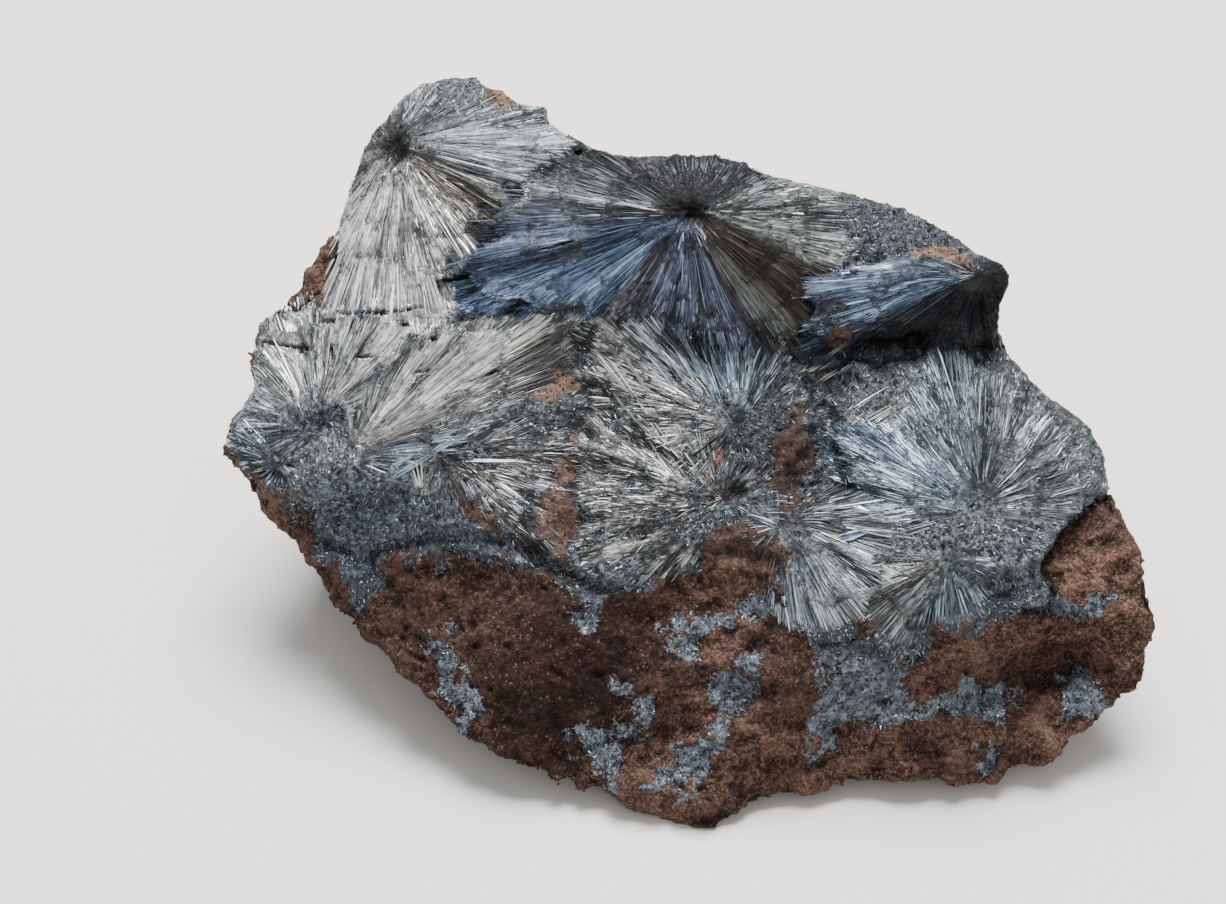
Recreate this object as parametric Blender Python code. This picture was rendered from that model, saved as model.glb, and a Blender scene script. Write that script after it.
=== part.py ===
"""Pyrolusite specimen: silky grey crystal sprays grown together on a brown iron-stained rock.

The specimen is about 91 mm wide, 67 mm deep and 46 mm high. It is two pieces. The matrix is the
brown rock, broken flat where it rests. The pyrolusite is one crust of crystals that grew together:
fans of flat-faced blades, each round its own centre, with a raised crown at the top.

Lengths below are in millimetres. The broad broken face slopes back from the viewer, and shapes on
it are given in face coordinates: u to the right, v up the slope, w straight out of the face.
"""
import math
import random

import bmesh
import bpy
import numpy as np
from mathutils import Vector, noise

MM = 0.001
SEED = 7

# The face plane, and the point on it that the rock's outline is measured from.
FACE_SLOPE = 48.5
CENTRE_U = 0.0
CENTRE_V = 16.0

# The rock: how thick it is behind the face, and the level that its back leaves for.
ROCK_DEPTH = 40.0
BACK_LEVEL = 14.0
# It gets to that level at this depth, and the upper back leans down by this share of the depth.
BACK_BLEND = 14.0
BACK_LEAN = 0.5
# At this depth the edge's points are worn down to its mean reach, over this many degrees either way.
EDGE_WEAR = 7.0
WEAR_SPAN = 32
WEAR_STEP = 8
# Its roughness and the size of its lumps, in front and behind, where it is full at this depth.
FRONT_ROUGHNESS = 0.55
FRONT_LUMPS = 5.0
BACK_ROUGHNESS = 1.7
BACK_LUMPS = 9.0
BACK_SWELL = 10.0
# The share that is broken off of what stands past a flat fracture.
BROKEN_OFF = 0.9
# Back points lower than this rest on the table.
BASE_SNAP = 0.8

# The crust: how deep it is rooted, how proud of the rock its grainy parts and its sprays stand, and
# its roughness.
CRUST_ROOT = 4.5
CRUST_RISE = 0.7
SPRAY_RISE = 1.2
CRUST_ROUGHNESS = 0.25
# The gap between it and the rock that it is seated in.
GAP = 0.3
# The cells of the sheet under it, and the share of its faces that is kept.
SEAT_CELL = 7.0
CRUST_KEPT_FACES = 0.74
# The block that the sheet and the outline are cut from.
BLOCK_TOP = 45.0
BLOCK_HALF_SIZE = 63.0

# The broken edge all round the face, clockwise from the top left lobe: u, v, w.
RIM = (
    (-28.0, 52.5, 2.0), (-24.5, 54.0, 1.5), (-20.5, 54.5, 1.5), (-17.0, 53.0, 3.0),
    (-15.5, 50.5, 6.5), (-12.5, 47.5, 9.5), (-6.5, 45.5, 13.0), (0.5, 45.5, 13.5),
    (6.0, 44.5, 13.5), (11.5, 43.0, 12.0), (17.5, 42.0, 9.0), (23.0, 40.5, 8.0),
    (28.0, 37.0, 9.5), (30.0, 35.0, 11.0), (31.0, 29.0, 10.5), (32.0, 26.0, 11.0),
    (35.5, 22.0, 13.0), (39.5, 20.0, 12.0), (41.0, 16.5, 13.0), (42.0, 12.0, 15.5),
    (44.5, 4.5, 18.0), (45.5, 0.5, 18.5), (45.0, -4.0, 18.5), (43.5, -6.5, 18.5),
    (40.5, -9.5, 18.5), (36.0, -11.5, 19.5), (35.5, -13.5, 19.0), (30.0, -15.0, 19.5),
    (23.5, -15.5, 20.5), (16.5, -15.5, 20.5), (11.0, -15.5, 20.5), (7.5, -17.0, 21.0),
    (2.5, -19.5, 23.0), (-1.5, -18.5, 22.0), (-7.5, -16.5, 21.5), (-13.0, -15.0, 21.5),
    (-20.5, -11.5, 20.5), (-25.5, -6.5, 18.5), (-32.5, 0.5, 15.0), (-38.0, 7.0, 12.0),
    (-43.0, 12.5, 10.0), (-45.5, 14.5, 10.0), (-46.0, 17.0, 9.5), (-45.0, 20.0, 8.5),
    (-42.5, 22.0, 8.5), (-43.0, 26.5, 7.5), (-42.0, 30.0, 6.5), (-39.0, 32.0, 7.0),
    (-36.0, 36.5, 6.5), (-33.5, 41.0, 5.5), (-31.5, 46.5, 4.0), (-30.0, 50.0, 3.0),
)

# Spot heights inside the edge: crown, terrace, right block, left lobe and brown front.
SPOTS = (
    (0.5, 39.5, 16.5), (0.5, 28.0, 12.5), (-13.5, 36.5, 14.0), (-22.0, 34.5, 11.0),
    (-13.5, 27.0, 13.0), (4.0, 21.5, 15.0), (5.5, 14.0, 17.5), (9.0, 9.5, 19.5),
    (26.5, 7.5, 21.5), (28.5, 11.0, 19.5), (-35.5, 18.5, 13.5), (-23.5, 16.0, 15.5),
    (-28.0, 6.0, 16.0), (-8.0, 2.5, 20.0), (-29.0, 47.0, 5.0), (-22.0, 45.0, 8.0),
    (14.0, 34.5, 13.5), (22.0, 34.5, 13.0), (15.0, 28.0, 11.0), (23.0, 27.5, 9.5),
    (20.0, 41.0, 8.0), (24.0, 21.0, 14.0), (35.0, 0.5, 21.0), (15.5, -7.5, 22.0),
    (1.5, -7.5, 22.0), (-12.0, -7.5, 21.5), (39.5, 5.0, 19.5), (-22.0, 0.0, 18.5),
)

# Lumps and hollows of the brown front and of the crust: u, v, radius, height.
LUMPS = (
    (35.0, -5.0, 4.5, -3.0), (29.0, -5.5, 3.5, -1.5), (33.0, 1.5, 4.0, 1.2), (41.5, -1.0, 3.5, 1.0),
    (24.0, -8.0, 4.0, 1.4), (10.0, -5.0, 5.0, 1.2), (4.0, -12.0, 4.0, 1.5), (-3.0, -3.0, 4.5, 1.3),
    (-10.0, -10.0, 4.0, -1.4), (-17.0, -5.0, 4.5, 1.2), (-6.0, -15.0, 3.0, 0.9), (14.0, -12.0, 3.0, -1.2),
    (-1.5, 5.5, 4.0, 1.5), (-27.0, 10.0, 4.5, 1.0), (-37.0, 11.0, 3.5, 0.9), (8.0, 17.0, 3.0, 0.8),
    (33.5, 16.5, 3.0, 0.9), (21.0, 38.5, 4.0, 0.8), (-20.0, 51.0, 3.0, 1.0), (17.0, 23.5, 3.0, -1.0),
)

# Flat fractures on the hidden back and sides: outward direction, and distance from the origin.
FRACTURES = (
    ((0.15, 0.96, 0.24), 37.0),
    ((0.55, 0.80, 0.15), 39.5),
    ((-0.62, 0.78, 0.05), 40.5),
    ((-0.20, 0.86, -0.46), 27.0),
    ((0.88, 0.42, -0.10), 41.0),
    ((-0.70, 0.10, -0.70), 22.5),
    ((0.75, 0.15, -0.65), 26.0),
)

# Where the grey crust ends against the brown rock, and past the broken edge elsewhere: u, v.
CRUST_OUTLINE = (
    (-47.5, 18.5), (-44.5, 16.5), (-41.0, 12.5), (-38.0, 10.0), (-37.0, 6.5), (-33.0, 5.0),
    (-31.5, 2.5), (-29.5, 3.0), (-29.5, 5.5), (-26.5, 6.0), (-23.0, 7.0), (-18.0, 6.0),
    (-13.0, 3.5), (-8.5, 1.5), (-4.5, 2.0), (-0.5, 4.5), (3.5, 5.5), (7.0, 4.5),
    (9.5, 0.0), (14.0, -1.0), (17.5, 0.5), (19.5, -3.0), (22.0, -2.5), (24.0, 0.0),
    (29.0, 1.5), (34.5, 1.5), (35.0, 3.0), (33.5, 5.5), (36.0, 9.0), (39.5, 11.5),
    (45.0, 15.0), (45.5, 23.5), (37.0, 30.0), (36.5, 38.5), (21.5, 47.0), (7.5, 51.0),
    (-5.0, 51.0), (-12.0, 57.0), (-24.0, 59.0), (-34.5, 55.0), (-37.5, 42.0), (-34.0, 37.5),
    (-35.0, 32.5), (-39.0, 30.5), (-47.0, 33.0), (-49.0, 23.5),
)

# Each spray of blades: centre u and v, blades, how proud its middle and its edge stand, the height
# of the ridges between blades, the depth of the pit at its centre, and how far it reaches on each
# bearing (degrees anticlockwise from u).
SPRAYS = {
    "crown_fan": dict(
        centre=(0.5, 39.5), blades=32, middle=1.2, edge=1.8, ridge=0.75, pit=1.8,
        reach=((2, 10.5), (21, 9.5), (43, 7.5), (90, 6.2), (114, 6.2), (132, 7.5), (144, 11.5),
               (161, 15.0), (177, 19.5), (191, 23.5), (199, 24.5), (206, 20.5), (217, 16.0),
               (228, 13.0), (246, 11.5), (275, 11.5), (295, 14.0), (310, 17.0), (324, 14.0),
               (344, 12.5))),
    "lobe_spray": dict(
        centre=(-29.0, 47.0), blades=26, middle=0.8, edge=0.6, ridge=0.65, pit=1.6,
        reach=((1, 19.0), (18, 14.5), (41, 11.5), (57, 9.0), (77, 6.0), (106, 3.0), (160, 2.5),
               (209, 4.0), (233, 8.0), (248, 15.5), (266, 16.0), (288, 16.0), (294, 14.0),
               (312, 12.5), (331, 12.5), (345, 14.0))),
    "block_spray": dict(
        centre=(29.0, 34.0), blades=18, middle=0.8, edge=1.6, ridge=0.6, pit=0.6,
        reach=((60, 1.6), (150, 3.0), (176, 10.0), (182, 17.0), (192, 18.5), (203, 18.5),
               (218, 11.0), (244, 8.0), (280, 7.5), (300, 4.0))),
    "left_spray": dict(
        centre=(-35.5, 18.5), blades=26, middle=0.7, edge=0.8, ridge=0.6, pit=0.8,
        reach=((6, 15.5), (24, 23.5), (34, 19.5), (47, 17.0), (82, 13.0), (117, 13.0), (128, 11.0),
               (150, 8.5), (185, 9.5), (206, 7.5), (233, 7.5), (262, 7.5), (299, 7.5), (345, 11.0))),
    "upper_middle_spray": dict(
        centre=(5.0, 19.5), blades=20, middle=0.7, edge=0.4, ridge=0.6, pit=0.5,
        reach=((18, 8.0), (50, 9.0), (80, 8.0), (110, 9.0), (142, 16.0), (153, 18.0), (168, 14.5),
               (186, 9.5), (235, 6.0), (322, 7.0))),
    "lower_middle_spray": dict(
        centre=(3.8, 12.0), blades=18, middle=0.7, edge=0.5, ridge=0.6, pit=0.5,
        reach=((0, 6.5), (90, 4.0), (144, 14.5), (161, 15.0), (188, 13.5), (216, 15.0),
               (230, 12.5), (240, 6.5), (318, 5.0))),
    "right_spray": dict(
        centre=(28.0, 11.0), blades=28, middle=0.8, edge=0.8, ridge=0.6, pit=0.7,
        reach=((10, 12.0), (29, 13.5), (43, 14.0), (59, 12.5), (78, 14.5), (108, 16.0),
               (132, 19.0), (150, 16.5), (171, 12.0), (198, 8.0), (243, 6.5), (294, 7.0),
               (321, 8.0), (353, 9.5))),
    "lower_spray": dict(
        centre=(8.9, 10.0), blades=14, middle=0.6, edge=0.5, ridge=0.55, pit=0.4,
        reach=((38, 3.0), (159, 3.0), (239, 5.0), (263, 7.5), (274, 10.0), (296, 11.5),
               (316, 12.0), (330, 11.5), (349, 14.0))),
    "lower_right_spray": dict(
        centre=(24.6, 6.5), blades=14, middle=0.7, edge=0.5, ridge=0.55, pit=0.4,
        reach=((40, 3.0), (138, 3.5), (171, 6.0), (202, 8.5), (238, 10.0), (264, 7.5), (305, 6.0))),
    "dark_spray": dict(
        centre=(-23.5, 16.5), blades=16, middle=0.5, edge=0.3, ridge=0.5, pit=0.4,
        reach=((1, 13.5), (25, 14.0), (43, 7.0), (150, 3.0), (220, 5.0), (243, 6.5), (276, 8.5),
               (307, 13.0), (332, 14.5))),
}

# A spray's root below the crust, its foot's share of its reach, and its rings' shares of it.
SPRAY_ROOT = 2.5
SPRAY_UNDERCUT = 0.94
RING_MIDDLE = 0.5
RING_PIT = 0.14
# How far the blades' ridges, tips and the hollows between them vary, as shares.
RIDGES = (0.6, 1.0)
TIPS = (0.94, 1.05)
HOLLOWS = (0.86, 0.95)

# Points nearer than this are joined, and slivers thinner than this are closed.
JOINED = 0.004
SLIVER = 0.001

COLLECTION = "pyrolusite_specimen"


def clear_scene():
    for old in list(bpy.data.objects):
        bpy.data.objects.remove(old, do_unlink=True)


def new_collection(name):
    collection = bpy.data.collections.new(name)
    bpy.context.scene.collection.children.link(collection)
    return collection


def new_object(name, bm, collection):
    """Turns a bmesh into an object, in metres, with flat faces."""
    bmesh.ops.recalc_face_normals(bm, faces=bm.faces)
    mesh = bpy.data.meshes.new(name)
    bm.to_mesh(mesh)
    bm.free()
    obj = bpy.data.objects.new(name, mesh)
    collection.objects.link(obj)
    return obj


def new_material(name, color, roughness, metallic):
    material = bpy.data.materials.new(name)
    material.use_nodes = True
    shader = material.node_tree.nodes["Principled BSDF"]
    shader.inputs["Base Color"].default_value = (*color, 1.0)
    shader.inputs["Roughness"].default_value = roughness
    shader.inputs["Metallic"].default_value = metallic
    return material


def as_tool(obj):
    """Marks a solid that only shapes others."""
    obj.hide_render = True
    obj.display_type = "WIRE"
    return obj


def face_point(u, v, w):
    """A point in face coordinates, in millimetres, as a place in the room, in metres."""
    slope = math.radians(FACE_SLOPE)
    y = v * math.cos(slope) - w * math.sin(slope)
    z = v * math.sin(slope) + w * math.cos(slope)
    return Vector((u, y, z)) * MM


def thin_plate(points):
    """The smoothest sheet w(u, v) through the given points."""
    spots = np.array(points)
    places = spots[:, :2]
    count = len(places)

    def kernel(distance):
        return distance ** 2 * np.log(distance + 1e-9)

    apart = np.linalg.norm(places[:, None, :] - places[None, :, :], axis=2)
    flat = np.column_stack([np.ones(count), places])
    system = np.zeros((count + 3, count + 3))
    system[:count, :count] = kernel(apart)
    system[:count, count:] = flat
    system[count:, :count] = flat.T
    weights = np.linalg.solve(system, np.append(spots[:, 2], np.zeros(3)))

    def height(u, v):
        distance = np.hypot(places[:, 0] - u, places[:, 1] - v)
        return float(kernel(distance) @ weights[:count] + weights[count:] @ (1.0, u, v))

    return height


terrain = thin_plate(RIM + SPOTS)


def relief(u, v):
    """The lumps and hollows that stand on the smooth terrain."""
    total = 0.0
    for lump_u, lump_v, radius, height in LUMPS:
        total += height * math.exp(-((u - lump_u) ** 2 + (v - lump_v) ** 2) / radius ** 2)
    return total


def rough(place, scale, seed):
    """Rock roughness between about -1 and 1 with features of the given size in millimetres."""
    at = Vector(place) / (scale * MM) + Vector((seed, 0, 0))
    return noise.noise(at) + 0.5 * noise.noise(at * 2.1)


def by_bearing(pairs):
    """A length for every bearing, in degrees, joined smoothly between the given ones."""
    bearings = [pair[0] for pair in pairs]
    lengths = [pair[1] for pair in pairs]
    return lambda bearing: float(np.interp(bearing % 360, bearings, lengths, period=360))


def rim_reach():
    pairs = []
    for u, v, _ in RIM:
        bearing = math.degrees(math.atan2(v - CENTRE_V, u - CENTRE_U)) % 360
        pairs.append((bearing, math.hypot(u - CENTRE_U, v - CENTRE_V)))
    return by_bearing(sorted(pairs))


RIM_REACH = rim_reach()


def rock_body(rise, roughness):
    """The whole lump: the broken face on its front, raised by rise, and the rounded back."""
    bm = bmesh.new()
    bmesh.ops.create_icosphere(bm, subdivisions=5, radius=1.0)
    top_reach = max(v for _, v, _ in RIM) - CENTRE_V
    for vert in bm.verts:
        aim = vert.co.normalized()
        bearing = math.atan2(aim.y, aim.x)
        out = math.sqrt(max(0.0, 1.0 - abs(aim.z)))
        depth = ROCK_DEPTH * math.sqrt(max(0.0, 1.0 - out ** 3)) if aim.z < 0 else 0.0
        length = out * back_reach(math.degrees(bearing), depth)
        u = CENTRE_U + length * math.cos(bearing)
        v = CENTRE_V + length * math.sin(bearing)
        if aim.z >= 0:
            w = terrain(u, v) + relief(u, v)
            w += roughness * rough(face_point(u, v, w), FRONT_LUMPS, SEED) + rise
            vert.co = face_point(u, v, w)
            vert.co.z = max(vert.co.z, 0.0)
        else:
            share = min(1.0, depth / BACK_BLEND)
            w = terrain(u, v) * (1.0 - share) + BACK_LEVEL * share
            lean = BACK_LEAN * max(0.0, v - CENTRE_V) / top_reach
            place = face_point(u, v - lean * depth, w - depth)
            vert.co = shape_back(place, depth)
    return bm


def back_reach(bearing, depth):
    """How far out the rock reaches: the broken edge itself, with its points worn off further back."""
    edge = RIM_REACH(bearing)
    around = [RIM_REACH(bearing + turn) for turn in range(-WEAR_SPAN, WEAR_SPAN + 1, WEAR_STEP)]
    worn = min(edge, sum(around) / len(around))
    share = min(1.0, depth / EDGE_WEAR)
    return edge + (worn - edge) * share


def shape_back(place, depth):
    """Breaks the back off along flat fractures, roughens it and rests it on a flat base."""
    for direction, distance in FRACTURES:
        outward = Vector(direction).normalized()
        past = place.dot(outward) - distance * MM
        if past > 0:
            place = place - outward * past * BROKEN_OFF
    swell = min(1.0, depth / BACK_SWELL)
    away = Vector((place.x, place.y, 0.0)).normalized()
    place = place + away * (BACK_ROUGHNESS * MM * swell * rough(place, BACK_LUMPS, SEED + 3))
    if place.z < BASE_SNAP * MM:
        place.z = 0.0
    return place


def spray_body(spray):
    """A fan of flat-faced blades round one centre, lying on the terrain and rooted in it."""
    blades = spray["blades"]
    rng = random.Random(blades * 31 + int(spray["centre"][0] * 10))
    reach = by_bearing(spray["reach"])
    bm = bmesh.new()
    bmesh.ops.create_cone(bm, cap_ends=True, cap_tris=True, segments=2 * blades,
                          radius1=SPRAY_UNDERCUT, radius2=1.0, depth=1.0)
    top = [face for face in bm.faces if face.normal.z > 0.9]
    bmesh.ops.inset_region(bm, faces=top, thickness=1.0 - RING_MIDDLE, use_even_offset=False)
    bmesh.ops.inset_region(bm, faces=top, thickness=RING_MIDDLE - RING_PIT, use_even_offset=False)
    crests = [rng.uniform(*RIDGES) for _ in range(blades)]
    tips = [rng.uniform(*TIPS) for _ in range(blades)]
    hollows = [rng.uniform(*HOLLOWS) for _ in range(blades)]
    centre_u, centre_v = spray["centre"]
    for vert in bm.verts:
        out = math.hypot(vert.co.x, vert.co.y)
        bearing = math.degrees(math.atan2(vert.co.y, vert.co.x)) % 360
        step = round(bearing / 360 * 2 * blades) % (2 * blades)
        blade = step // 2
        on_crest = step % 2 == 0
        is_rim = out > SPRAY_UNDERCUT - 0.02
        stretch = (tips[blade] if on_crest else hollows[blade]) if is_rim else 1.0
        length = out * stretch * reach(bearing)
        u = centre_u + length * math.cos(math.radians(bearing))
        v = centre_v + length * math.sin(math.radians(bearing))
        ground = terrain(u, v) + relief(u, v) + SPRAY_RISE
        if vert.co.z < 0:
            w = ground - SPRAY_RISE - SPRAY_ROOT
        else:
            w = ground + spray["middle"] + (spray["edge"] - spray["middle"]) * out
            if out > RING_PIT * 0.5 and on_crest:
                w += spray["ridge"] * crests[blade]
            if out < RING_PIT * 0.5:
                w -= spray["pit"]
        vert.co = face_point(u, v, w)
    bmesh.ops.triangulate(bm, faces=bm.faces)
    return bm


def seat_body(drop):
    """Everything in front of a sheet that lies CRUST_ROOT plus drop behind the terrain."""
    bm = bmesh.new()
    cells = round(2 * BLOCK_HALF_SIZE / SEAT_CELL)
    bmesh.ops.create_grid(bm, x_segments=cells, y_segments=cells, size=BLOCK_HALF_SIZE)
    sheet = bm.faces[:]
    risen = bmesh.ops.extrude_face_region(bm, geom=sheet)
    top = {item for item in risen["geom"] if isinstance(item, bmesh.types.BMVert)}
    for vert in bm.verts:
        u, v = vert.co.x, vert.co.y + CENTRE_V
        w = BLOCK_TOP if vert in top else terrain_inside(u, v) - CRUST_ROOT - drop
        vert.co = face_point(u, v, w)
    return bm


def terrain_inside(u, v):
    """The terrain, held level past the broken edge so that the sheet doesn't run away."""
    bearing = math.atan2(v - CENTRE_V, u - CENTRE_U)
    length = math.hypot(u - CENTRE_U, v - CENTRE_V)
    length = min(length, RIM_REACH(math.degrees(bearing)))
    return terrain(CENTRE_U + length * math.cos(bearing), CENTRE_V + length * math.sin(bearing))


def outline_body(name, grow, collection):
    """A prism on the crust's outline, square to the face, grown outwards by grow."""
    curve = bpy.data.curves.new(name, "CURVE")
    curve.dimensions = "2D"
    curve.fill_mode = "BOTH"
    curve.extrude = BLOCK_TOP * MM
    curve.offset = grow * MM
    spline = curve.splines.new("POLY")
    spline.points.add(len(CRUST_OUTLINE) - 1)
    spline.use_cyclic_u = True
    for point, (u, v) in zip(spline.points, CRUST_OUTLINE):
        point.co = (u * MM, v * MM, 0.0, 1.0)
    guide = bpy.data.objects.new(name + "_curve", curve)
    guide.rotation_euler.x = math.radians(FACE_SLOPE)
    collection.objects.link(guide)
    bpy.context.view_layer.update()
    evaluated = guide.evaluated_get(bpy.context.evaluated_depsgraph_get())
    mesh = bpy.data.meshes.new_from_object(evaluated)
    bm = bmesh.new()
    bm.from_mesh(mesh)
    bmesh.ops.remove_doubles(bm, verts=bm.verts, dist=JOINED * MM)
    obj = new_object(name, bm, collection)
    obj.matrix_world = guide.matrix_world
    bpy.data.objects.remove(guide, do_unlink=True)
    return as_tool(obj)


def combine(obj, operation, other):
    """Adds, keeps or takes away another solid, or every solid of a collection."""
    modifier = obj.modifiers.new(operation.lower(), "BOOLEAN")
    modifier.operation = operation
    modifier.solver = "EXACT"
    if isinstance(other, bpy.types.Collection):
        modifier.operand_type = "COLLECTION"
        modifier.collection = other
    else:
        modifier.object = other


def settle(obj):
    """Applies the cuts, closes hair-thin slivers and keeps the one large body."""
    bpy.context.view_layer.update()
    evaluated = obj.evaluated_get(bpy.context.evaluated_depsgraph_get())
    bm = bmesh.new()
    bm.from_mesh(evaluated.to_mesh())
    bmesh.ops.triangulate(bm, faces=bm.faces)
    bmesh.ops.remove_doubles(bm, verts=bm.verts, dist=JOINED * MM)
    bmesh.ops.dissolve_degenerate(bm, edges=bm.edges, dist=SLIVER * MM)
    bodies = loose_bodies(bm)
    largest = max(bodies, key=len)
    crumbs = [vert for body in bodies if body is not largest for vert in body]
    bmesh.ops.delete(bm, geom=crumbs, context="VERTS")
    bmesh.ops.triangulate(bm, faces=bm.faces)
    obj.modifiers.clear()
    bm.to_mesh(obj.data)
    bm.free()


def loose_bodies(bm):
    """The separate bodies of a mesh, as sets of vertices."""
    left = set(bm.verts)
    bodies = []
    while left:
        start = left.pop()
        body = {start}
        edge_of = [start]
        while edge_of:
            for edge in edge_of.pop().link_edges:
                for vert in edge.verts:
                    if vert not in body:
                        body.add(vert)
                        edge_of.append(vert)
        left -= body
        bodies.append(body)
    return bodies


def main():
    clear_scene()
    parts = new_collection(COLLECTION)
    cutters = new_collection("cutters")
    sprays = new_collection("sprays")

    for name, spray in SPRAYS.items():
        as_tool(new_object(name, spray_body(spray), sprays))

    matrix = new_object("matrix", rock_body(0.0, FRONT_ROUGHNESS), parts)
    crust = new_object("pyrolusite_sprays", rock_body(CRUST_RISE, CRUST_ROUGHNESS), parts)

    crust_block = as_tool(new_object("crust_block", seat_body(0.0), cutters))
    combine(crust_block, "INTERSECT", outline_body("crust_outline", 0.0, cutters))
    matrix_block = as_tool(new_object("matrix_block", seat_body(GAP), cutters))
    combine(matrix_block, "INTERSECT", outline_body("matrix_outline", GAP, cutters))

    combine(crust, "UNION", sprays)
    combine(crust, "INTERSECT", crust_block)
    slivers = crust.modifiers.new("fewer_slivers", "DECIMATE")
    slivers.ratio = CRUST_KEPT_FACES
    combine(matrix, "DIFFERENCE", matrix_block)
    settle(crust)
    settle(matrix)

    brown = new_material("iron_stained_rock", (0.105, 0.050, 0.036), 0.85, 0.0)
    grey = new_material("pyrolusite", (0.215, 0.235, 0.260), 0.35, 0.75)
    matrix.data.materials.append(brown)
    crust.data.materials.append(grey)


main()
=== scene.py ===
import math

import bmesh
import bpy
import numpy as np
from mathutils import Matrix, Vector, noise
from mathutils.bvhtree import BVHTree
from mathutils.kdtree import KDTree


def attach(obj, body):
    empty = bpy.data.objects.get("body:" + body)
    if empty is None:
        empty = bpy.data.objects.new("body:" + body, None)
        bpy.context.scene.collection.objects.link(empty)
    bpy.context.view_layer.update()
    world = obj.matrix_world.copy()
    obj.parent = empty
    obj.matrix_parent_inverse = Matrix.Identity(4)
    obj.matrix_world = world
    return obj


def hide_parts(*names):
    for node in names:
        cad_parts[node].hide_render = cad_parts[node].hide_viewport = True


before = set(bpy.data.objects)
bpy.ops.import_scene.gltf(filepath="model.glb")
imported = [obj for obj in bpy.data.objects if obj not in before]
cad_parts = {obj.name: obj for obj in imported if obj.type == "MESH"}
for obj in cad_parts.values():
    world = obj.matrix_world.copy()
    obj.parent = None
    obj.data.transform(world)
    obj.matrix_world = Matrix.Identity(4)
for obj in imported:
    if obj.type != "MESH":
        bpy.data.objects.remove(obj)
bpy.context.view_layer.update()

# The rock
# Brown, iron-stained manganese rock, broken by hand: dull and earthy, with pinkish sandy grains, dark
# pores and blue-grey patches where crystals run into it. Its skin is the solid's own shape with the
# finer lumps, pores and grain worked into the mesh.

# Lengths are in millimetres from here on, where a name or comment doesn't say metres.
MM = 0.001
FACE_SLOPE = math.radians(48.5)
FACE_UP = np.array((0.0, math.cos(FACE_SLOPE), math.sin(FACE_SLOPE)))
FACE_OUT = np.array((0.0, -math.sin(FACE_SLOPE), math.cos(FACE_SLOPE)))
FAR_OUT = 80.0
# The meshes' fineness, and how far a skin is blown up and drawn back to close hair gaps.
ROCK_VOXEL = 0.58
HAIR = 0.2
# Surfaces that look out of the face by more than this are its front. Near the base nothing is pushed.
FRONT_FACING = 0.25
BASE_KEEP = 1.2


def to_face(points):
    """Places in metres as face coordinates in millimetres: u right, v up the slope, w out of it."""
    points = np.asarray(points, float).reshape(-1, 3) / MM
    return points[:, 0], points @ FACE_UP, points @ FACE_OUT


def from_face(u, v, w):
    """The reverse of to_face, for arrays."""
    across = np.outer(np.ravel(u), (1.0, 0.0, 0.0))
    return (across + np.outer(np.ravel(v), FACE_UP) + np.outer(np.ravel(w), FACE_OUT)) * MM


def noise_at(points, size, seed=0.0):
    """Smooth noise between about -1 and 1 at points in millimetres, with features of one size."""
    return np.array([noise.noise(p) for p in (np.asarray(points) / size + seed).tolist()])


def grains_at(points, size, seed=0.0):
    """Rounded grains packed side by side: about 0.5 amid one and -0.5 in the cracks between."""
    places = (np.asarray(points) / size + seed).tolist()
    return np.array([0.5 - 1.6 * noise.voronoi(place)[0][0] ** 2 for place in places])


def new_object(name, mesh):
    obj = bpy.data.objects.new(name, mesh)
    bpy.context.scene.collection.objects.link(obj)
    return obj


def points_of(mesh):
    places = np.empty(len(mesh.vertices) * 3)
    mesh.vertices.foreach_get("co", places)
    return places.reshape(-1, 3)


def normals_of(mesh):
    normals = np.empty(len(mesh.vertices) * 3)
    mesh.vertices.foreach_get("normal", normals)
    return normals.reshape(-1, 3)


def push(mesh, millimetres):
    """Moves each point along its normal."""
    places = points_of(mesh) + normals_of(mesh) * (millimetres * MM)[:, None]
    mesh.vertices.foreach_set("co", places.ravel())
    mesh.update()


def skin_of(node_names, name, voxel):
    """One closed even skin over CAD nodes that lie within a hair of each other, as a new object."""
    bm = bmesh.new()
    for node_name in node_names:
        bm.from_mesh(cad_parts[node_name].data)
    bmesh.ops.remove_doubles(bm, verts=bm.verts, dist=0.001 * MM)
    bm.normal_update()
    for vert in bm.verts:
        vert.co += vert.normal * HAIR * MM
    mesh = bpy.data.meshes.new(name)
    bm.to_mesh(mesh)
    bm.free()
    rough = new_object(name + "_solid", mesh)
    remesh = rough.modifiers.new("even_skin", "REMESH")
    remesh.mode = "VOXEL"
    remesh.voxel_size = voxel * MM
    bpy.context.view_layer.update()
    skin = bpy.data.meshes.new_from_object(rough.evaluated_get(bpy.context.evaluated_depsgraph_get()))
    bpy.data.objects.remove(rough)
    skin.name = name
    push(skin, np.full(len(skin.vertices), -HAIR))
    keep_largest_shell(skin)
    return new_object(name, skin)


def keep_largest_shell(mesh):
    """Deletes every shell but the largest, so no closed pocket is left inside."""
    bm = bmesh.new()
    bm.from_mesh(mesh)
    unseen, shells = set(bm.verts), []
    while unseen:
        shell, edge_of_shell = set(), [unseen.pop()]
        while edge_of_shell:
            vert = edge_of_shell.pop()
            shell.add(vert)
            for edge in vert.link_edges:
                other = edge.other_vert(vert)
                if other in unseen:
                    unseen.discard(other)
                    edge_of_shell.append(other)
        shells.append(shell)
    largest = max(shells, key=len)
    bmesh.ops.delete(bm, geom=[vert for vert in bm.verts if vert not in largest], context="VERTS")
    bm.to_mesh(mesh)
    bm.free()


def tree_of(*meshes):
    bm = bmesh.new()
    for mesh in meshes:
        bm.from_mesh(mesh)
    tree = BVHTree.FromBMesh(bm)
    bm.free()
    return tree


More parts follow.
